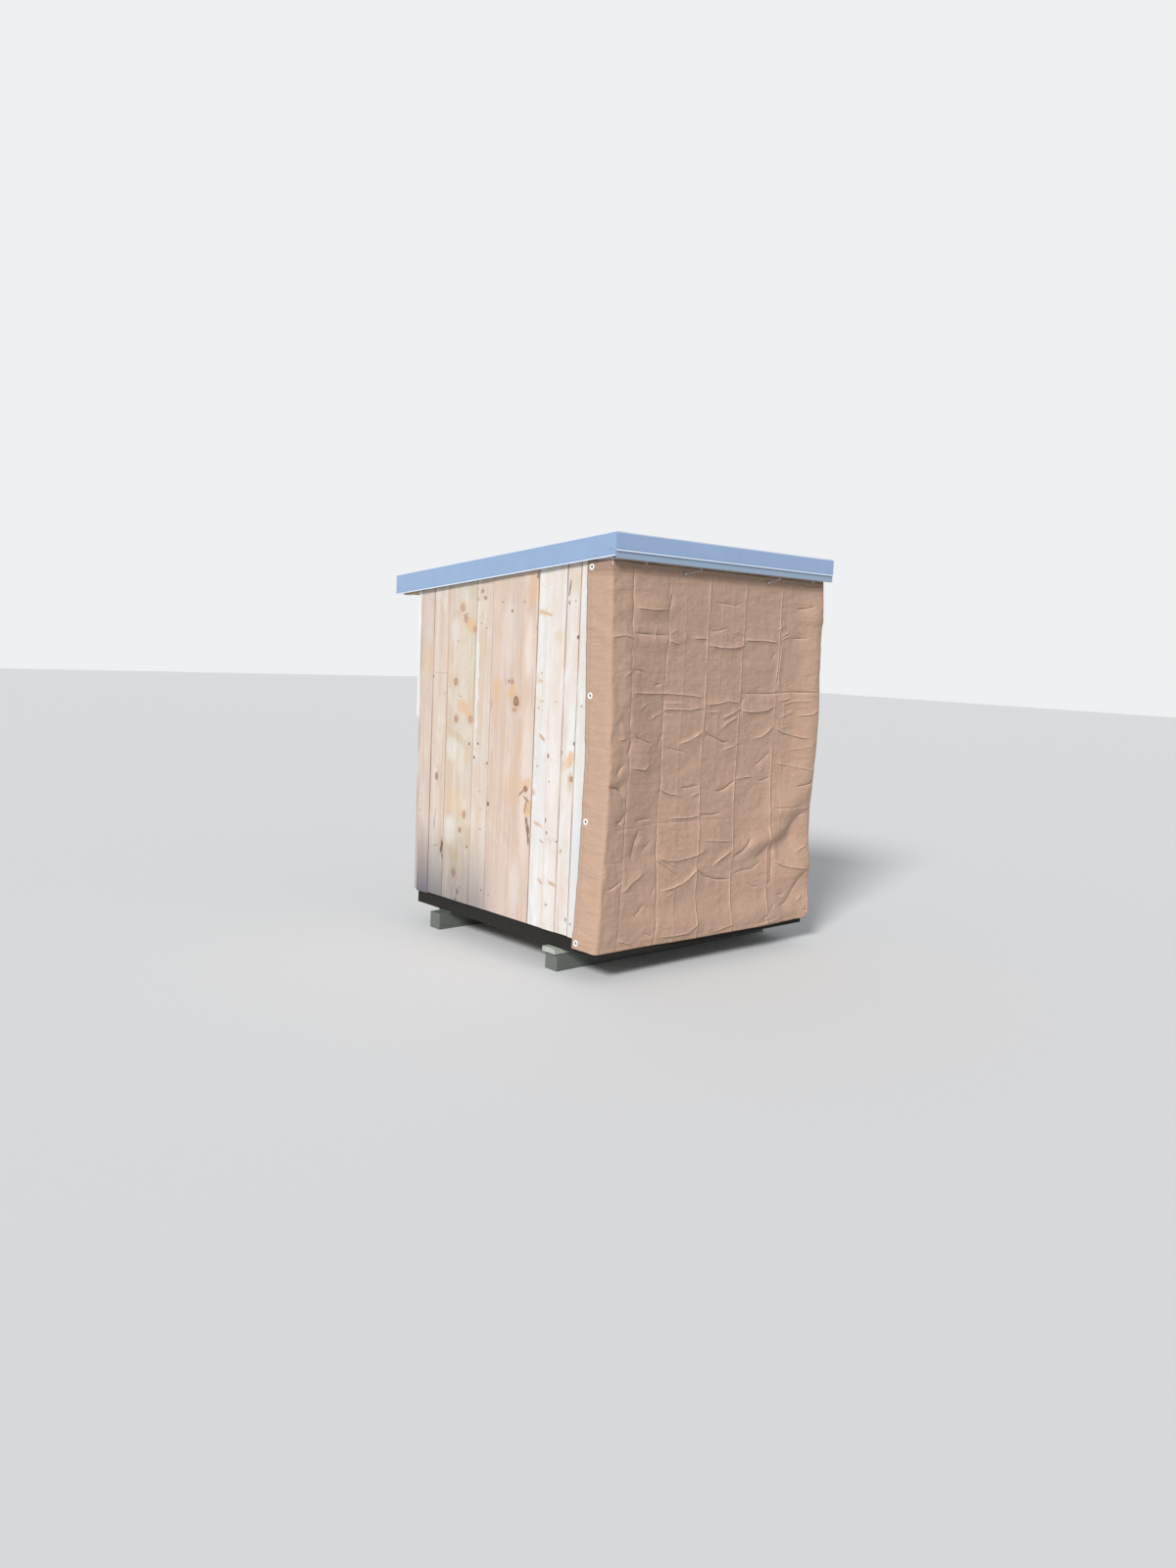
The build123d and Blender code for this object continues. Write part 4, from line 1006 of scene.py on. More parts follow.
# Creases: height, reach above and below the line, then the line from left to right, in mm
CREASES = (
    (2.6, 9, 8, ((-644, 1384), (-520, 1380), (-400, 1380), (-300, 1376), (-210, 1371), (-132, 1362))),
    (1.6, 8, 8, ((-405, 1330), (-320, 1333), (-250, 1328))),
    (2.6, 13, 8, ((-400, 1305), (-300, 1303), (-230, 1300), (-170, 1310), (-124, 1304))),
    (-1.3, 8, 8, ((-408, 1293), (-345, 1281))),
    (4.4, 8, 60, ((-292, 1132), (-232, 1147), (-170, 1170), (-120, 1199))),
    (-4.0, 8, 7, ((-120, 1199), (-76, 1175), (-20, 1156), (42, 1134), (84, 1137))),
    (2.2, 8, 26, ((17, 1091), (75, 1104), (142, 1118))),
    (-1.6, 8, 8, ((-395, 1119), (-264, 1097), (-214, 1084))),
    (3.2, 26, 8, ((-110, 1328), (-58, 1329), (-20, 1332), (55, 1345), (148, 1334))),
    (1.6, 8, 10, ((-114, 1290), (-40, 1288), (11, 1290))),
    (2.8, 9, 9, ((8, 1258), (42, 1265), (80, 1278), (148, 1304))),
    (2.6, 8, 16, ((8, 1198), (50, 1232), (146, 1268))),
    (-2.2, 15, 12, ((-107, 1690), (-50, 1692), (20, 1709))),
    (4.6, 24, 13, ((-114, 1622), (-30, 1612), (60, 1612), (130, 1622), (155, 1640))),
    (3.2, 16, 14, ((-232, 1650), (-180, 1652), (-118, 1652))),
    (2.4, 9, 8, ((64, 1682), (99, 1697), (146, 1681))),
    (2.2, 9, 10, ((-405, 1636), (-360, 1624), (-322, 1617))),
    (1.6, 9, 9, ((-396, 1664), (-370, 1678), (-339, 1687))),
    (-1.8, 22, 22, ((-95, 1831), (17, 1829), (80, 1823), (128, 1846))),
    (3.2, 8, 8, ((-413, 926), (-380, 903), (-340, 890), (-287, 883), (-250, 870))),
    (-3.2, 14, 16, ((-262, 915), (-200, 914), (-128, 924))),
    (2.0, 10, 9, ((-175, 872), (-125, 888))),
    (-4.6, 9, 9, ((7, 884), (50, 886), (87, 897), (152, 934))),
    (2.4, 8, 8, ((-330, 768), (-187, 764), (-113, 770))),
    (-3.4, 7, 11, ((-113, 771), (-66, 769), (-20, 766), (50, 774))),
    (-0.9, 5, 5, ((-740, 738), (-580, 738), (-404, 748), (-200, 746), (147, 738))),
    (2.2, 8, 9, ((-84, 641), (60, 627), (156, 620))),
    (3.2, 40, 13, ((-386, 572), (-333, 558), (-273, 552), (-200, 558), (-133, 568), (-60, 592))),
    (2.8, 9, 12, ((-413, 574), (-380, 554), (-333, 527), (-274, 486))),
    (4.8, 9, 70, ((-384, 411), (-287, 420), (-193, 446), (-105, 500))),
    (-4.0, 8, 7, ((-105, 490), (-47, 452), (13, 434), (47, 426), (144, 416))),
    (4.6, 13, 11, ((8, 500), (47, 530), (90, 549), (145, 576))),
    (2.8, 16, 9, ((-370, 180), (-293, 177), (-187, 178), (-133, 208), (-100, 226))),
    (3.2, 15, 8, ((5, 158), (80, 170), (155, 181))),
    (1.4, 7, 7, ((-330, 378), (-293, 403))),
    (-6.5, 20, 28, ((-640, 1660), (-520, 1656), (-404, 1657))),
    (3.4, 22, 14, ((-779, 1636), (-700, 1650), (-640, 1634))),
    (5.0, 60, 46, ((-640, 1778), (-520, 1772), (-404, 1782))),
    (-2.4, 12, 12, ((-644, 1487), (-590, 1486), (-537, 1474))),
    (2.0, 12, 8, ((-700, 1460), (-644, 1486))),
    (-3.6, 9, 9, ((-630, 1196), (-594, 1170), (-537, 1153), (-480, 1136))),
    (2.2, 8, 8, ((-500, 1252), (-450, 1276), (-408, 1286))),
    (-2.4, 8, 8, ((-480, 1417), (-434, 1426))),
    (2.2, 12, 8, ((-585, 1298), (-550, 1322), (-525, 1330))),
    (1.6, 8, 8, ((-735, 1162), (-672, 1172))),
    (3.2, 12, 12, ((-640, 1030), (-570, 1022), (-545, 1016), (-490, 1042))),
    (-7.0, 20, 15, ((-789, 948), (-747, 940), (-707, 932), (-660, 906))),
    (-4.5, 14, 14, ((-722, 776), (-680, 770), (-646, 822))),
    (-3.6, 14, 10, ((-575, 766), (-520, 772), (-448, 774))),
    (-2.0, 8, 8, ((-490, 620), (-450, 660))),
    (4.2, 30, 13, ((-640, 428), (-573, 482), (-500, 518))),
    (-2.8, 8, 8, ((-740, 452), (-700, 462), (-650, 488))),
    (-3.8, 10, 10, ((-538, 303), (-487, 355))),
    (2.8, 10, 15, ((-650, 196), (-580, 174), (-528, 158))),
    (-2.2, 9, 9, ((-484, 214), (-415, 188))),
    (-2.2, 8, 8, ((-445, 388), (-422, 438))),
    (-0.8, 5, 5, ((-784, 581), (-647, 580))),
    (4.2, 26, 18, ((150, 1655), (300, 1658), (424, 1652))),
    (2.4, 7, 7, ((440, 1682), (506, 1709))),
    (2.4, 7, 7, ((448, 1668), (522, 1692))),
    (1.8, 7, 7, ((406, 1712), (450, 1738))),
    (-2.4, 5, 7, ((166, 1383), (369, 1382), (537, 1393), (768, 1394))),
    (5.6, 80, 14, ((160, 1296), (225, 1288), (306, 1290), (369, 1298), (434, 1322))),
    (2.4, 13, 8, ((446, 1345), (537, 1358), (566, 1366))),
    (2.4, 13, 8, ((496, 1326), (562, 1343), (650, 1347), (716, 1350))),
    (1.8, 12, 10, ((470, 1256), (537, 1277), (580, 1290))),
    (2.8, 12, 9, ((606, 1268), (700, 1274), (768, 1308))),
    (2.8, 10, 22, ((272, 1146), (350, 1161), (387, 1184), (434, 1220))),
    (3.0, 14, 7, ((440, 1208), (487, 1185), (537, 1173), (600, 1160), (662, 1148), (704, 1150))),
    (-3.0, 15, 15, ((558, 1830), (637, 1840), (698, 1858))),
    (-3.0, 18, 18, ((533, 1680), (600, 1678), (666, 1685))),
    (-2.0, 14, 14, ((655, 1478), (724, 1488))),
    (-1.8, 9, 9, ((378, 1560), (414, 1604))),
    (1.4, 8, 12, ((556, 1082), (640, 1090), (725, 1106))),
    (-3.0, 14, 14, ((290, 998), (367, 1038), (418, 1072))),
    (3.4, 26, 12, ((150, 942), (207, 948), (291, 950))),
    (-2.8, 14, 12, ((330, 922), (380, 926), (432, 942))),
    (2.4, 8, 40, ((444, 1018), (567, 1000), (660, 984), (770, 966))),
    (-4.0, 8, 9, ((610, 882), (700, 891), (740, 902), (770, 918))),
    (-1.8, 6, 6, ((464, 772), (560, 770), (620, 770), (667, 778), (690, 772))),
    (1.6, 7, 7, ((690, 760), (730, 760))),
    (-9.0, 34, 90, ((484, 586), (530, 606), (575, 618), (605, 650), (640, 694), (676, 722), (722, 736))),
    (-5.0, 16, 34, ((330, 500), (380, 536), (420, 574), (462, 604))),
    (-5.5, 13, 16, ((162, 534), (215, 552), (262, 588), (300, 636))),
    (-2.2, 7, 8, ((164, 440), (220, 452), (287, 457), (320, 455), (367, 482), (398, 497))),
    (-2.0, 8, 8, ((284, 390), (327, 362), (372, 357))),
    (-1.8, 8, 8, ((428, 343), (472, 376))),
    (3.0, 10, 7, ((496, 484), (553, 457), (607, 444), (653, 437), (744, 424))),
    (2.4, 12, 8, ((655, 518), (700, 540), (752, 556))),
    (-6.5, 26, 40, ((540, 226), (600, 238), (644, 276), (680, 330), (712, 380), (742, 416))),
    (3.0, 12, 12, ((694, 236), (732, 280))),
    (-4.0, 14, 12, ((745, 190), (784, 188))),
    (-3.0, 12, 12, ((404, 190), (433, 186), (458, 212))),
    (2.0, 9, 12, ((345, 150), (460, 156), (570, 168))),
    (-2.2, 8, 8, ((476, 226), (510, 250))),
    (-2.0, 12, 12, ((530, 293), (590, 294))),
)
# Steep creases: the same, but the line runs from the top down and reaches are to its left and right
UPRIGHT = (
    (-4.0, 9, 9, ((-383, 1862), (-390, 1806), (-402, 1782))),
    (-4.0, 9, 10, ((-640, 1175), (-637, 1140), (-664, 1082))),
    (-4.4, 20, 20, ((-532, 730), (-566, 650), (-584, 584))),
    (-3.4, 8, 8, ((184, 1372), (160, 1330), (160, 1258))),
    (-2.4, 12, 16, ((-406, 1190), (-420, 1150), (-434, 1112))),
    (-3.6, 14, 14, ((-680, 1050), (-712, 1024), (-730, 984))),
    (-4.0, 9, 9, ((474, 610), (477, 560), (477, 480), (474, 360))),
    (2.2, 12, 22, ((452, 1640), (450, 1520), (456, 1400))),
    (2.0, 8, 8, ((-488, 1700), (-494, 1670), (-500, 1625))),
)


def swell(x, z):
    """How far the cloth's broad swells stand out at places on the front, all in mm."""
    out = np.zeros_like(z)
    for mid_x, mid_z, wide, high, turn, rise in SWELLS:
        across = (x - mid_x) * math.cos(turn) + (z - mid_z) * math.sin(turn)
        up = (z - mid_z) * math.cos(turn) - (x - mid_x) * math.sin(turn)
        out += rise * np.exp(-((across / wide) ** 2) - (up / high) ** 2)
    return np.maximum(out, SWELL_BACK) * np.clip((CLOTH_TOP / MM - z) / SWELL_FADE, 0, 1)


def stroke(x, z, line, reach_left, reach_right):
    """Shape of one crease on arrays of places, how far each place is from its line (above 0
    on the left, as seen when travelling along it), and how strong the crease is there."""
    best = np.full(x.shape, 1e9)
    side, run = np.zeros_like(x), np.zeros_like(x)
    line = np.asarray(line, float)
    lengths = np.hypot(*(line[1:] - line[:-1]).T)
    total, start = lengths.sum(), 0.0
    for (x0, z0), (x1, z1), length in zip(line[:-1], line[1:], lengths):
        dx, dz = (x1 - x0) / length, (z1 - z0) / length
        t = np.clip((x - x0) * dx + (z - z0) * dz, 0, length)
        px, pz = x - x0 - dx * t, z - z0 - dz * t
        far = np.hypot(px, pz)
        nearer = far < best
        best = np.where(nearer, far, best)
        side = np.where(nearer, dx * pz - dz * px, side)
        run = np.where(nearer, start + t, run)
        start += length
    reach = np.where(side >= 0, reach_left, reach_right)
    rounded = np.sqrt(best**2 + CREASE_RADIUS**2) - CREASE_RADIUS
    ends = min(0.3 * total, 40.0)
    taper = np.clip(run / ends, 0, 1) ** 0.8 * np.clip((total - run) / ends, 0, 1) ** 0.8
    past = np.exp(-((best / (3.5 * reach)) ** 4))
    return np.exp(-rounded / reach) * (0.12 + 0.88 * taper) * past, best * np.sign(side), taper


def fold_shape(x, z, place, height, left, right):
    """One fold down the cloth: how far it stands out, how far away it is, and its strength."""
    uneven = np.clip(0.85 + 0.30 * lattice_noise(z, z * 0, 110, 1, place + 900), 0.3, 1.4)
    wander = 0.9 * lattice_noise(z, z * 0, 260, 1, place + 1900)
    d = x - place - wander
    rounded = np.sqrt(d**2 + CREASE_RADIUS**2) - CREASE_RADIUS
    shape = FOLD_LIFT * height * uneven * np.exp(-rounded / np.where(d < 0, left, right))
    return shape, -d, np.clip(height / 4.5, -1, 1) * uneven + 0 * d


def crease_box(x, z, line, reach):
    """The part of the grid of places that a crease can change."""
    pad = 4.5 * reach + 10
    xs, zs = zip(*line)
    cols = np.nonzero((x[0] > min(xs) - pad) & (x[0] < max(xs) + pad))[0]
    rows = np.nonzero((z[:, 0] > min(zs) - pad) & (z[:, 0] < max(zs) + pad))[0]
    return np.ix_(rows, cols)


def front_relief(x, z):
    """How far the cloth stands out from its flat front, for places on the front, all in mm.

    Also gives the distance to the nearest fold and crease, above 0 on the side that the
    light comes from, and how strong these are: above 0 for a ridge, below for a valley."""
    out = swell(x, z)
    marks = {}
    for kind in ("fold", "crease"):
        marks |= {kind + "_far": np.full_like(out, 99.0), kind + "_power": np.zeros_like(out)}

    def mark(kind, box, far, power):
        nearest = np.abs(far) < np.abs(marks[kind + "_far"][box])
        for name, value in (("_far", far), ("_power", power)):
            marks[kind + name][box] = np.where(nearest, value, marks[kind + name][box])

    for fold in FOLDS:
        shape, far, power = fold_shape(x, z, *fold)
        out += shape
        mark("fold", np.s_[:, :], far, power)
    for lines, lit in ((CREASES, 1), (UPRIGHT, -1)):
        for height, first, second, line in lines:
            # The light comes from the upper left, so a ridge is pale above or to the left
            left, right = (first, second) if lit > 0 else (second, first)
            box = crease_box(x, z, line, max(left, right))
            shape, far, taper = stroke(x[box], z[box], line, CREASE_SHARP * left, CREASE_SHARP * right)
            out[box] += CREASE_LIFT * height * shape
            mark("crease", box, lit * far, np.clip(height / 3.2, -1, 1) * taper)
    out += 0.9 * lattice_noise(x, z, 260, 52, 3) + 0.9 * lattice_noise(x, z, 120, 90, 4)
    out += 0.75 * lattice_noise(x, z, 46, 27, 5) + 0.40 * lattice_noise(x, z, 21, 16, 6)
    corner = np.clip((-x - 600) / 60, 0, 1)
    out += corner * (1.8 * lattice_noise(x, z, 60, 46, 7) + 0.9 * lattice_noise(x, z, 30, 34, 12))
    return out, marks


def graded(low, high, marks, fine, coarse, reach):
    """Places from low to high, close together near the marks."""
    dense = np.linspace(low, high, 6000)
    far = np.min([np.abs(dense - m) for m in marks], axis=0)
    step = fine + (coarse - fine) * np.clip(far / reach - 1, 0, 1)
    count = np.concatenate([[0], np.cumsum(np.diff(dense) / step[1:])])
    return np.interp(np.linspace(0, count[-1], int(count[-1]) + 1), count, dense)


def cloth_grid():
    """Places along the cut's width and height, close together where the cloth is folded."""
    folds = [place * MM for place, *_ in FOLDS]
    marks = folds + [-0.775, -0.70, 0.775, -EYELET_X, EYELET_X]
    front = graded(-HALF_X, HALF_X, marks, 3.6 * MM, 10.5 * MM, 6 * MM)
    flap = graded(0, FLAP, [FLAP - EYELET_INSET], 4 * MM, 11 * MM, 9 * MM)[1:]
    u = np.concatenate([-HALF_X - flap[::-1], front, HALF_X + flap])
    return u, np.linspace(CLOTH_LOW, CLOTH_TOP, CLOTH_ROWS)


def cloth_point(u):
    """Where a point of the cut lies before it swells: along the front, round a soft corner
    and back along a side wall. Gives |x|, y past the front, and the outward normal."""
    bend = CORNER_BEND
    edge = np.abs(u) - HALF_X
    angle = np.clip((edge + bend) / (2 * bend), 0, 1) * math.pi / 2
    x = np.where(edge < -bend, np.abs(u), HALF_X - bend + bend * np.sin(angle))
    y = np.where(edge > bend, edge, bend * (1 - np.cos(angle)))
    return x, y, np.sin(angle), -np.cos(angle)


def with_hems(places):
    """Places with those of the hems folded in at both ends, and 1 for each of the hems'."""
    hem = np.array([0.0015, 0.012, 0.022, HEM_WIDTH])
    folded = np.concatenate([np.ones(4), np.zeros(len(places)), np.ones(4)])
    return np.concatenate([places[0] + hem[::-1], places, places[-1] - hem]), folded


def flap_ripple(u, edge, z):
    """How far a side flap stands off its wall, in mm. edge is how far it is past the corner."""
    at = u / MM
    ripple = 2.4 + 1.2 * lattice_noise(at, z, 70, 60, 8) + 1.0 * lattice_noise(at, z, 200, 34, 9)
    ripple += 0.45 * lattice_noise(at, z, 60, 18, 10)
    ripple += np.where(u < 0, flap_folds(edge / MM, z), 0)
    return np.clip(ripple, 0.0, 16) * np.clip(edge / 0.030, 0, 1)


def hang_cloth():
    """The whole canvas as one grid, its hems folded to the back. Gives the cut's places, the
    points in space, the marks of the creases, and how often each place is folded over."""
    u, v = cloth_grid()
    (u_all, strip_u), (v_all, strip_v) = with_hems(u), with_hems(v)
    folded = strip_u[None, :] + strip_v[:, None]
    uu, vv = np.meshgrid(u_all, v_all)
    z_mm = vv / MM
    relief, marks = front_relief(np.clip(uu, -HALF_X, HALF_X) / MM, z_mm)

    # A side flap is carried forward by the front's swell at its corner, and ripples a little
    edge = np.abs(uu) - HALF_X
    corner_swell = swell(np.sign(uu) * HALF_X / MM, z_mm)
    on_front = np.clip(-edge / 0.018, 0, 1)
    forward = relief * on_front + corner_swell * (1 - on_front)
    outward = flap_ripple(uu, edge, z_mm)
    forward = np.where(on_solid(uu, vv), np.maximum(forward, 0.0), forward)

    x, y, normal_x, normal_y = cloth_point(uu)
    lift = HEM_LIFT * np.clip(folded, 0, 1)
    px = np.sign(uu) * (x + outward * MM - lift * normal_x)
    py = FRONT_FACE + y - forward * MM - lift * normal_y
    return u_all, v_all, np.stack([px, py, vv], -1), marks, folded


def flap_folds(back, z):
    """Soft folds in mm that run from the corner towards the left flap's free edge."""
    out = np.zeros_like(back)
    for height, place, reach, slant in (
        (3.0, 1840, 16, 0.10), (4.0, 1650, 24, 0.20), (4.5, 1290, 30, -0.25), (7.0, 945, 20, 0.05),
        (4.5, 800, 24, 0.30), (4.0, 640, 14, -0.05), (3.5, 455, 22, -0.10), (4.0, 250, 26, 0.15),
    ):
        d = z - place - slant * back
        out += height * np.exp(-((d / reach) ** 2)) * np.clip(1 - back / 190, 0.1, 1)
    return out


def on_solid(u, z):
    """Where posts, header or floor stand right behind the front."""
    floor = (z < FLOOR_TOP) & (z > FLOOR_LOW)
    return (np.abs(u) > HALF_X - POST_REACH) | (z > HEADER_LOW) | floor


def cloth_finder(u, v, points):
    """A way to find a point's place, across and normal directions on the hung cloth."""

    def on_cloth(at_u, at_v):
        fu, fv = np.interp(at_u, u, np.arange(len(u))), np.interp(at_v, v, np.arange(len(v)))
        iu, iv = min(int(fu), len(u) - 2), min(int(fv), len(v) - 2)
        tu, tv = fu - iu, fv - iv
        low = points[iv, iu] * (1 - tu) + points[iv, iu + 1] * tu
        high = points[iv + 1, iu] * (1 - tu) + points[iv + 1, iu + 1] * tu
        along_u = points[iv, min(iu + 3, len(u) - 1)] - points[iv, max(iu - 2, 0)]
        along_v = points[min(iv + 3, len(v) - 1), iu] - points[max(iv - 2, 0), iu]
        normal = np.cross(along_u, along_v)
        normal /= np.linalg.norm(normal)
        first = along_u / np.linalg.norm(along_u)
        return low * (1 - tv) + high * tv, first, np.cross(normal, first), normal

    return on_cloth


def add_canvas():
    """Builds the canvas with its eyelet holes. Gives the piece and its cloth_finder."""
    u, v, points, marks, folded = hang_cloth()
    rows, cols = points.shape[:2]
    index = np.arange(rows * cols).reshape(rows, cols)
    keep = np.ones((rows - 1, cols - 1), bool)
    # The hem's corners are cut away where two folded strips would meet
    keep[(folded[:-1, :-1] > 1) | (folded[1:, 1:] > 1)] = False
    flat_u, flat_v = np.meshgrid(u, v)
    for hole_u, hole_v in eyelet_places():
        inside = np.hypot(flat_u - hole_u, flat_v - hole_v) < HOLE_CUT
        keep[inside[:-1, :-1] | inside[1:, :-1] | inside[:-1, 1:] | inside[1:, 1:]] = False
    faces = np.stack([index[:-1, :-1], index[:-1, 1:], index[1:, 1:], index[1:, :-1]], -1)[keep]
    used, faces = np.unique(faces, return_inverse=True)
    points_used, faces = points.reshape(-1, 3)[used], faces.reshape(-1, 4)
    made = new_mesh("canvas_front", points_used, faces, [CANVAS], smooth=True, slot="canvas")
    mesh = made.data
    corner = np.zeros(len(mesh.loops), int)
    mesh.loops.foreach_get("vertex_index", corner)
    where = np.stack([flat_u.ravel()[used] + HALF_X + FLAP, flat_v.ravel()[used] - CLOTH_LOW], -1)
    layer = mesh.uv_layers.new(name="cloth")
    layer.data.foreach_set("uv", where[corner].astype(np.float32).ravel())
    # The hem mark carries the top hem's painted shadow and the stitch lines
    marks["hem"] = painted_hem_shadow_and_stitches(flat_u, flat_v)
    for name, values in marks.items():
        layer = mesh.attributes.new(name, "FLOAT", "POINT")
        layer.data.foreach_set("value", values.ravel()[used].astype(np.float32))
    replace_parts(made, "front_tarp")
    # Rows and columns of the single cloth, without the folded hems
    return made, cloth_finder(u[4:-4], v[4:-4], points[4:-4, 4:-4])


def painted_hem_shadow_and_stitches(u, z):
    """The top hem as a band of painted shadow under the eave (0.5) with the stitch lines added to it (0.6),
    up to 1.
    """
    top = np.clip((z - (CLOTH_TOP - STITCH_TOP)) / 0.004, 0, 1)
    lines = [
        np.abs(z - (CLOTH_TOP - STITCH_TOP)), np.abs(z - (CLOTH_LOW + STITCH_LOW)),
        np.abs(np.abs(u) - (HALF_X + FLAP - STITCH_SIDE)),
    ]
    return np.clip(0.5 * top + sum(0.6 * np.exp(-((d / STITCH) ** 2)) for d in lines), 0, 1)


def eyelet_places():
    """The ten eyelets in the cut: four down each side edge and two between them along the top."""
    side = HALF_X + FLAP - EYELET_INSET
    rows = [CLOTH_LOW + EYELET_INSET + (CUT[1] - 2 * EYELET_INSET) * n / 3 for n in range(4)]
    return [(s * side, z) for s in (-1, 1) for z in rows] + [(s * EYELET_X, rows[-1]) for s in (-1, 1)]


# Eyelets, screws, hooks and wires


def spun(parts, profile, place, sides, slot=0):
    """A turned shape: profile is (radius, rise) in mm, place is (centre, first, second, normal)."""
    centre, first, second, normal = place
    points = []
    for radius, rise in profile:
        for k in range(sides):
            turn = 2 * math.pi * k / sides
            out = first * math.cos(turn) + second * math.sin(turn)
            points.append(centre + out * radius * MM + normal * rise * MM)
    parts.add(points, bands(len(profile), sides), slot)


def rod(parts, line, radius):
    """A round wire through the points of a line."""
    line = np.asarray(line, float)
    count, sides = len(line), 8
    points = []
    for n, p in enumerate(line):
        along = line[min(n + 1, count - 1)] - line[max(n - 1, 0)]
        along /= np.linalg.norm(along)
        across = np.cross(along, (0.13, 0.21, 0.97) if abs(along[2]) < 0.9 else (0.9, 0.3, 0.1))
        across /= np.linalg.norm(across)
        other = np.cross(along, across)
        for k in range(sides):
            turn = 2 * math.pi * k / sides
            points.append(p + radius * (across * math.cos(turn) + other * math.sin(turn)))
    parts.add(points, bands(count, sides) + end_caps(count, sides))


def add_eyelets(on_cloth):
    """Rolled rings, each pressed round its hole, and screws through the ones on the flaps, each in a black
    ring of painted shade that darkens the hole round its head.
    """
    inner = ((6.4, -2.2), (6.6, -0.5), (7.2, 1.1), (8.8, 1.9))
    ring = inner + ((12.6, 1.9), (15.1, 1.5), (15.8, 0.6), (15.4, -0.3))
    # washer is a black ring of painted shade in the hole round the screw head
    hole_shade_ring = ((5.9, -1.8), (6.1, -0.2), (5.6, 0.5), (2.8, 0.6))
    head = ((3.0, 0.2), (3.1, 1.4), (2.4, 2.3), (1.3, 2.6), (0.9, 1.5), (0.05, 1.4))
    rings, screws = Parts(), Parts()
    for hole_u, hole_v in eyelet_places():
        place = on_cloth(hole_u, hole_v)
        # The two eyelets on the front, under the fascia, take a dark metal: tarnish together with painted
        # shade
        spun(rings, ring, place, 36, int(abs(hole_u) < HALF_X))
        if abs(hole_u) > HALF_X:
            spun(screws, hole_shade_ring, place, 24)
            spun(screws, head, place, 20, 1)
    made = rings.make("canvas_eyelets", [EYELET, TARNISHED_AND_SHADED_EYELET], smooth=True, slot="grommet_metal")
    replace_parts(made, "tarp_grommets")
    screws.make("canvas_screws_and_hole_shade", [HOLE_SHADE_BLACK, NAIL], smooth=True)
    return made


def cup_hook(parts, x, y, z):
    """A hook with a round plate, screwed into the fascia's underside."""
    plate = ((0.6, 0.0), (4.2, -0.2), (4.4, -1.2), (1.5, -1.8), (1.4, -4.0))
    spun(parts, plate, (np.array((x, y, z)), *np.eye(3)), 16)
    reach = 6 * MM
    turns = np.linspace(math.pi / 2, -math.pi * 1.05, 16)
    curl = [(x, y + reach * math.cos(t), z - 10 * MM + reach * math.sin(t)) for t in turns]
    rod(parts, [(x, y, z - 1 * MM)] + curl, 1.3 * MM)


def wire_link(parts, eyelet, end):
    """A wire that comes through an upper eyelet and runs up to a hook, with a knob at its foot."""
    centre, across, _, normal = eyelet
    knob = ((0.05, 0.5), (3.4, 1.0), (4.0, 2.4), (3.2, 3.8), (0.05, 4.4))
    spun(parts, knob, (centre + across * 3 * MM, *eyelet[1:]), 16, 1)
    front = centre + normal * 3.5 * MM + across * 4 * MM
    line = [centre - normal * 4 * MM + (0, 0, 3 * MM), centre + (0, 0, 2 * MM), front + (2 * MM, 0, 3 * MM)]
    for t in np.linspace(0.12, 1.0, 12):
        sag = -2 * MM * math.sin(math.pi * t) + 2 * MM * (1 - t)
        line.append(front * (1 - t) + end * t + np.array((0, 0, sag)))
    rod(parts, line, 1.1 * MM)


def add_hooks(on_cloth):
    """Cup hooks in the fascia's underside, and the wire links from the two upper eyelets."""
    parts = Parts()
    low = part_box("front_fascia_board")[0]
    y, z = low[1] + 10 * MM, low[2] + 1 * MM
    for x in HOOK_X:
        cup_hook(parts, x, y, z)
    top = max(v for _, v in eyelet_places())
    for side, hook in ((-1, HOOK_X[1]), (1, HOOK_X[2])):
        wire_link(parts, on_cloth(side * EYELET_X, top), np.array((hook, y - 1 * MM, z - 15 * MM)))
    parts.make("fascia_hooks", [WIRE, EYELET], smooth=True)


# CAD nodes that keep their shape

ALONG_Y = ("floor_joists", "inner_rafters")
BLUE, PALE_BLUE = (0.244, 0.352, 0.528), (0.290, 0.408, 0.628)
RIVET_DROP = 0.076


def dress(node, material, bevel=None):
    """A CAD node keeps its shape and gets a material, and soft arrises if it is timber."""
    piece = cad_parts[node]
    piece.data.materials.clear()
    piece.data.materials.append(material)
    if bevel:
        soft = piece.modifiers.new("arris", "BEVEL")
        soft.width = bevel
        soft.segments = 2
        soft.limit_method = "ANGLE"
        soft.angle_limit = math.radians(40)
        soft.harden_normals = False
    return piece


def timber(node, colour, seed, along=None, knots=4, rough=0.62):
    """Wood on a CAD node, its grain along the node's longest side if along doesn't name an
    axis. Nodes that are rows of timbers running to the back are in ALONG_Y."""
    low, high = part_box(node)
    if along is None:
        along = 1 if node in ALONG_Y else int(np.argmax([high[k] - low[k] for k in range(3)]))
    a, b = [k for k in range(3) if k != along]
    chance = np.random.default_rng(seed)
    pith = (
        (low[a] + high[a]) / 2 + chance.uniform(-0.02, 0.02),
        (low[b] + high[b]) / 2 + chance.uniform(0.03, 0.06),
    )
    spots = []
    for _ in range(knots):
        size = chance.uniform(0.005, 0.013)
        place = (chance.uniform(low[a], high[a]), chance.uniform(low[along], high[along]))
        spots.append((*place, size, size * 1.2, 0, 1))
    axes = "".join("xyz"[k] for k in (a, b, along))
    grain = wood(f"{node}_timber", axes, colour, pith, 0.0036, 0.36, knots=spots, rough=rough, seed=seed)
    return dress(node, grain, bevel=1.5 * MM)


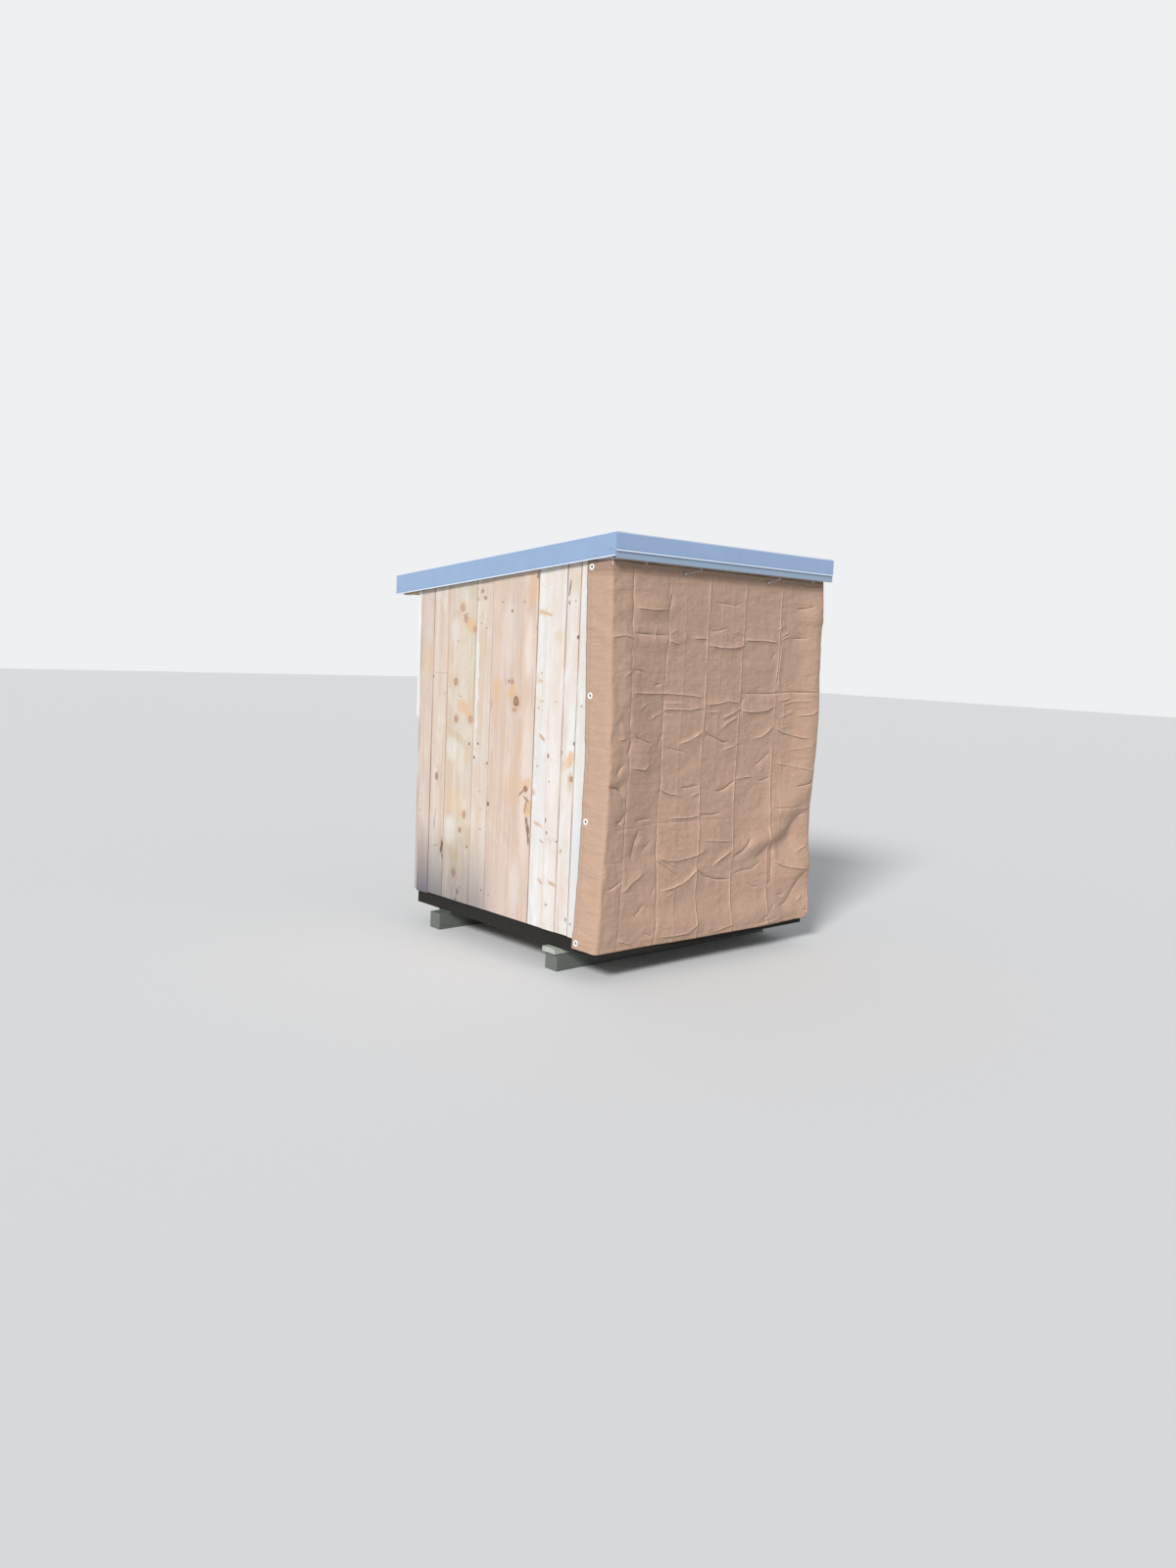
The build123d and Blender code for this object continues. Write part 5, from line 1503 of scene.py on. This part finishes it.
def dress_timbers():
    # treated is near black: painted shade under the floor, for the floor frame
    framing, frame_shade_black, fascia = (0.60, 0.46, 0.31), (0.017, 0.016, 0.014), (0.58, 0.45, 0.33)
    low_frame = "front_rim_joist back_rim_joist left_side_joist right_side_joist floor_joists".split()
    upper_frame = (
        "front_left_post front_right_post back_left_post back_right_post front_header back_header "
        "left_top_rail right_top_rail left_girt right_girt back_girt left_rafter right_rafter inner_rafters"
    ).split()
    for n, node in enumerate(low_frame):
        timber(node, shade(frame_shade_black, 0.95 + 0.03 * (n % 4)), 101 + n, rough=0.85, knots=0)
    for n, node in enumerate(upper_frame):
        timber(node, shade(framing, 0.95 + 0.02 * (n % 5)), 111 + n)
    for n, side in enumerate(("front", "rear")):
        timber(f"{side}_sleeper", (0.140, 0.162, 0.152), 201 + n, rough=0.8, knots=0)
        timber(f"{side}_packing_plank", (0.42, 0.46, 0.43), 211 + n, rough=0.75, knots=1)
    edge_boards = "front_fascia_board back_fascia_board left_rake_board right_rake_board".split()
    for n, node in enumerate(edge_boards):
        # The front fascia and rake boards are darkened to near black as painted shade under the trims; the
        # back fascia keeps the wood's colour
        timber(node, fascia if node == "back_fascia_board" else shade(fascia, 0.28), 221 + n)
    timber("roof_deck", (0.60, 0.48, 0.34), 231, along=0, knots=6)


def dress_metal():
    """The roof's sheet and trims. The drip edges' end tabs, folded round the corners, are
    seen with the side trims and are painted like them."""
    low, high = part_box("left_rake_trim")
    rake_face = (low[2] + high[1] * RAKE_FALL, high[2] + low[1] * RAKE_FALL, RAKE_FALL)
    side_metal = painted_metal("coated_trim_side", BLUE, face=rake_face)
    for node in ("left_rake_trim", "right_rake_trim"):
        dress(node, side_metal)
    for node in ("front_drip_edge", "back_drip_edge"):
        low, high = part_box(node)
        piece = dress(node, painted_metal(f"coated_{node}", PALE_BLUE, axis="x", face=(low[2], high[2], 0.0)))
        piece.data.materials.append(side_metal)
        for face in piece.data.polygons:
            face.material_index = int(abs(face.normal[0]) > 0.9)
    dress("front_fascia_cover", painted_metal("coated_front_fascia_cover", (0.285, 0.380, 0.500), axis="x"))
    dress("roof_sheet", painted_metal("coated_roof", shade(BLUE, 0.95), 0.36))


def rake_rivets():
    """The two rivets in the left rake trim, nearly at the same distance below its sloping top."""
    low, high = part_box("left_rake_trim")
    chance = np.random.default_rng(41)
    places = []
    for y in (low[1] + 0.032, high[1] - 0.030):
        z = high[2] - RIVET_DROP - (y - low[1]) * RAKE_FALL + chance.uniform(-3, 3) * MM
        places.append((low[0] + 0.4 * MM, y, z))
    nail_heads("rake_trim_rivets", places, 0, -1)


# The scene

NAIL = bare_metal("galvanised_nail", (0.35, 0.34, 0.33), 0.55)
EYELET = bare_metal("nickel_eyelet", (0.92, 0.92, 0.91), 0.42, 0.35)
# TARNISHED_AND_SHADED_EYELET is dark eyelet metal: tarnish together with painted shade under the eave
TARNISHED_AND_SHADED_EYELET = bare_metal("tarnished_and_shaded_eyelet", (0.30, 0.235, 0.200), 0.6, 0.3)
# HOLE_SHADE_BLACK is black for the painted shade in the flap eyelets' holes
HOLE_SHADE_BLACK = bare_metal("painted_hole_shade", (0.04, 0.04, 0.045), 0.5)
WIRE = bare_metal("galvanised_wire", (0.62, 0.63, 0.65), 0.38)
CANVAS = canvas("tan_canvas", (0.514, 0.342, 0.248))

add_camera()
add_sun()
add_sky()
dress_timbers()
dress_metal()
rake_rivets()
left_wall()
other_walls()
corner_battens()
floor_boards()
cloth, on_cloth = add_canvas()
eyelets = add_eyelets(on_cloth)
add_hooks(on_cloth)

ground = new_mesh(
    "studio_floor", [(-40, -40, 0), (40, -40, 0), (40, 40, 0), (-40, 40, 0)], [(0, 1, 2, 3)],
    [studio_floor("studio_floor_paint")], body=None,
)
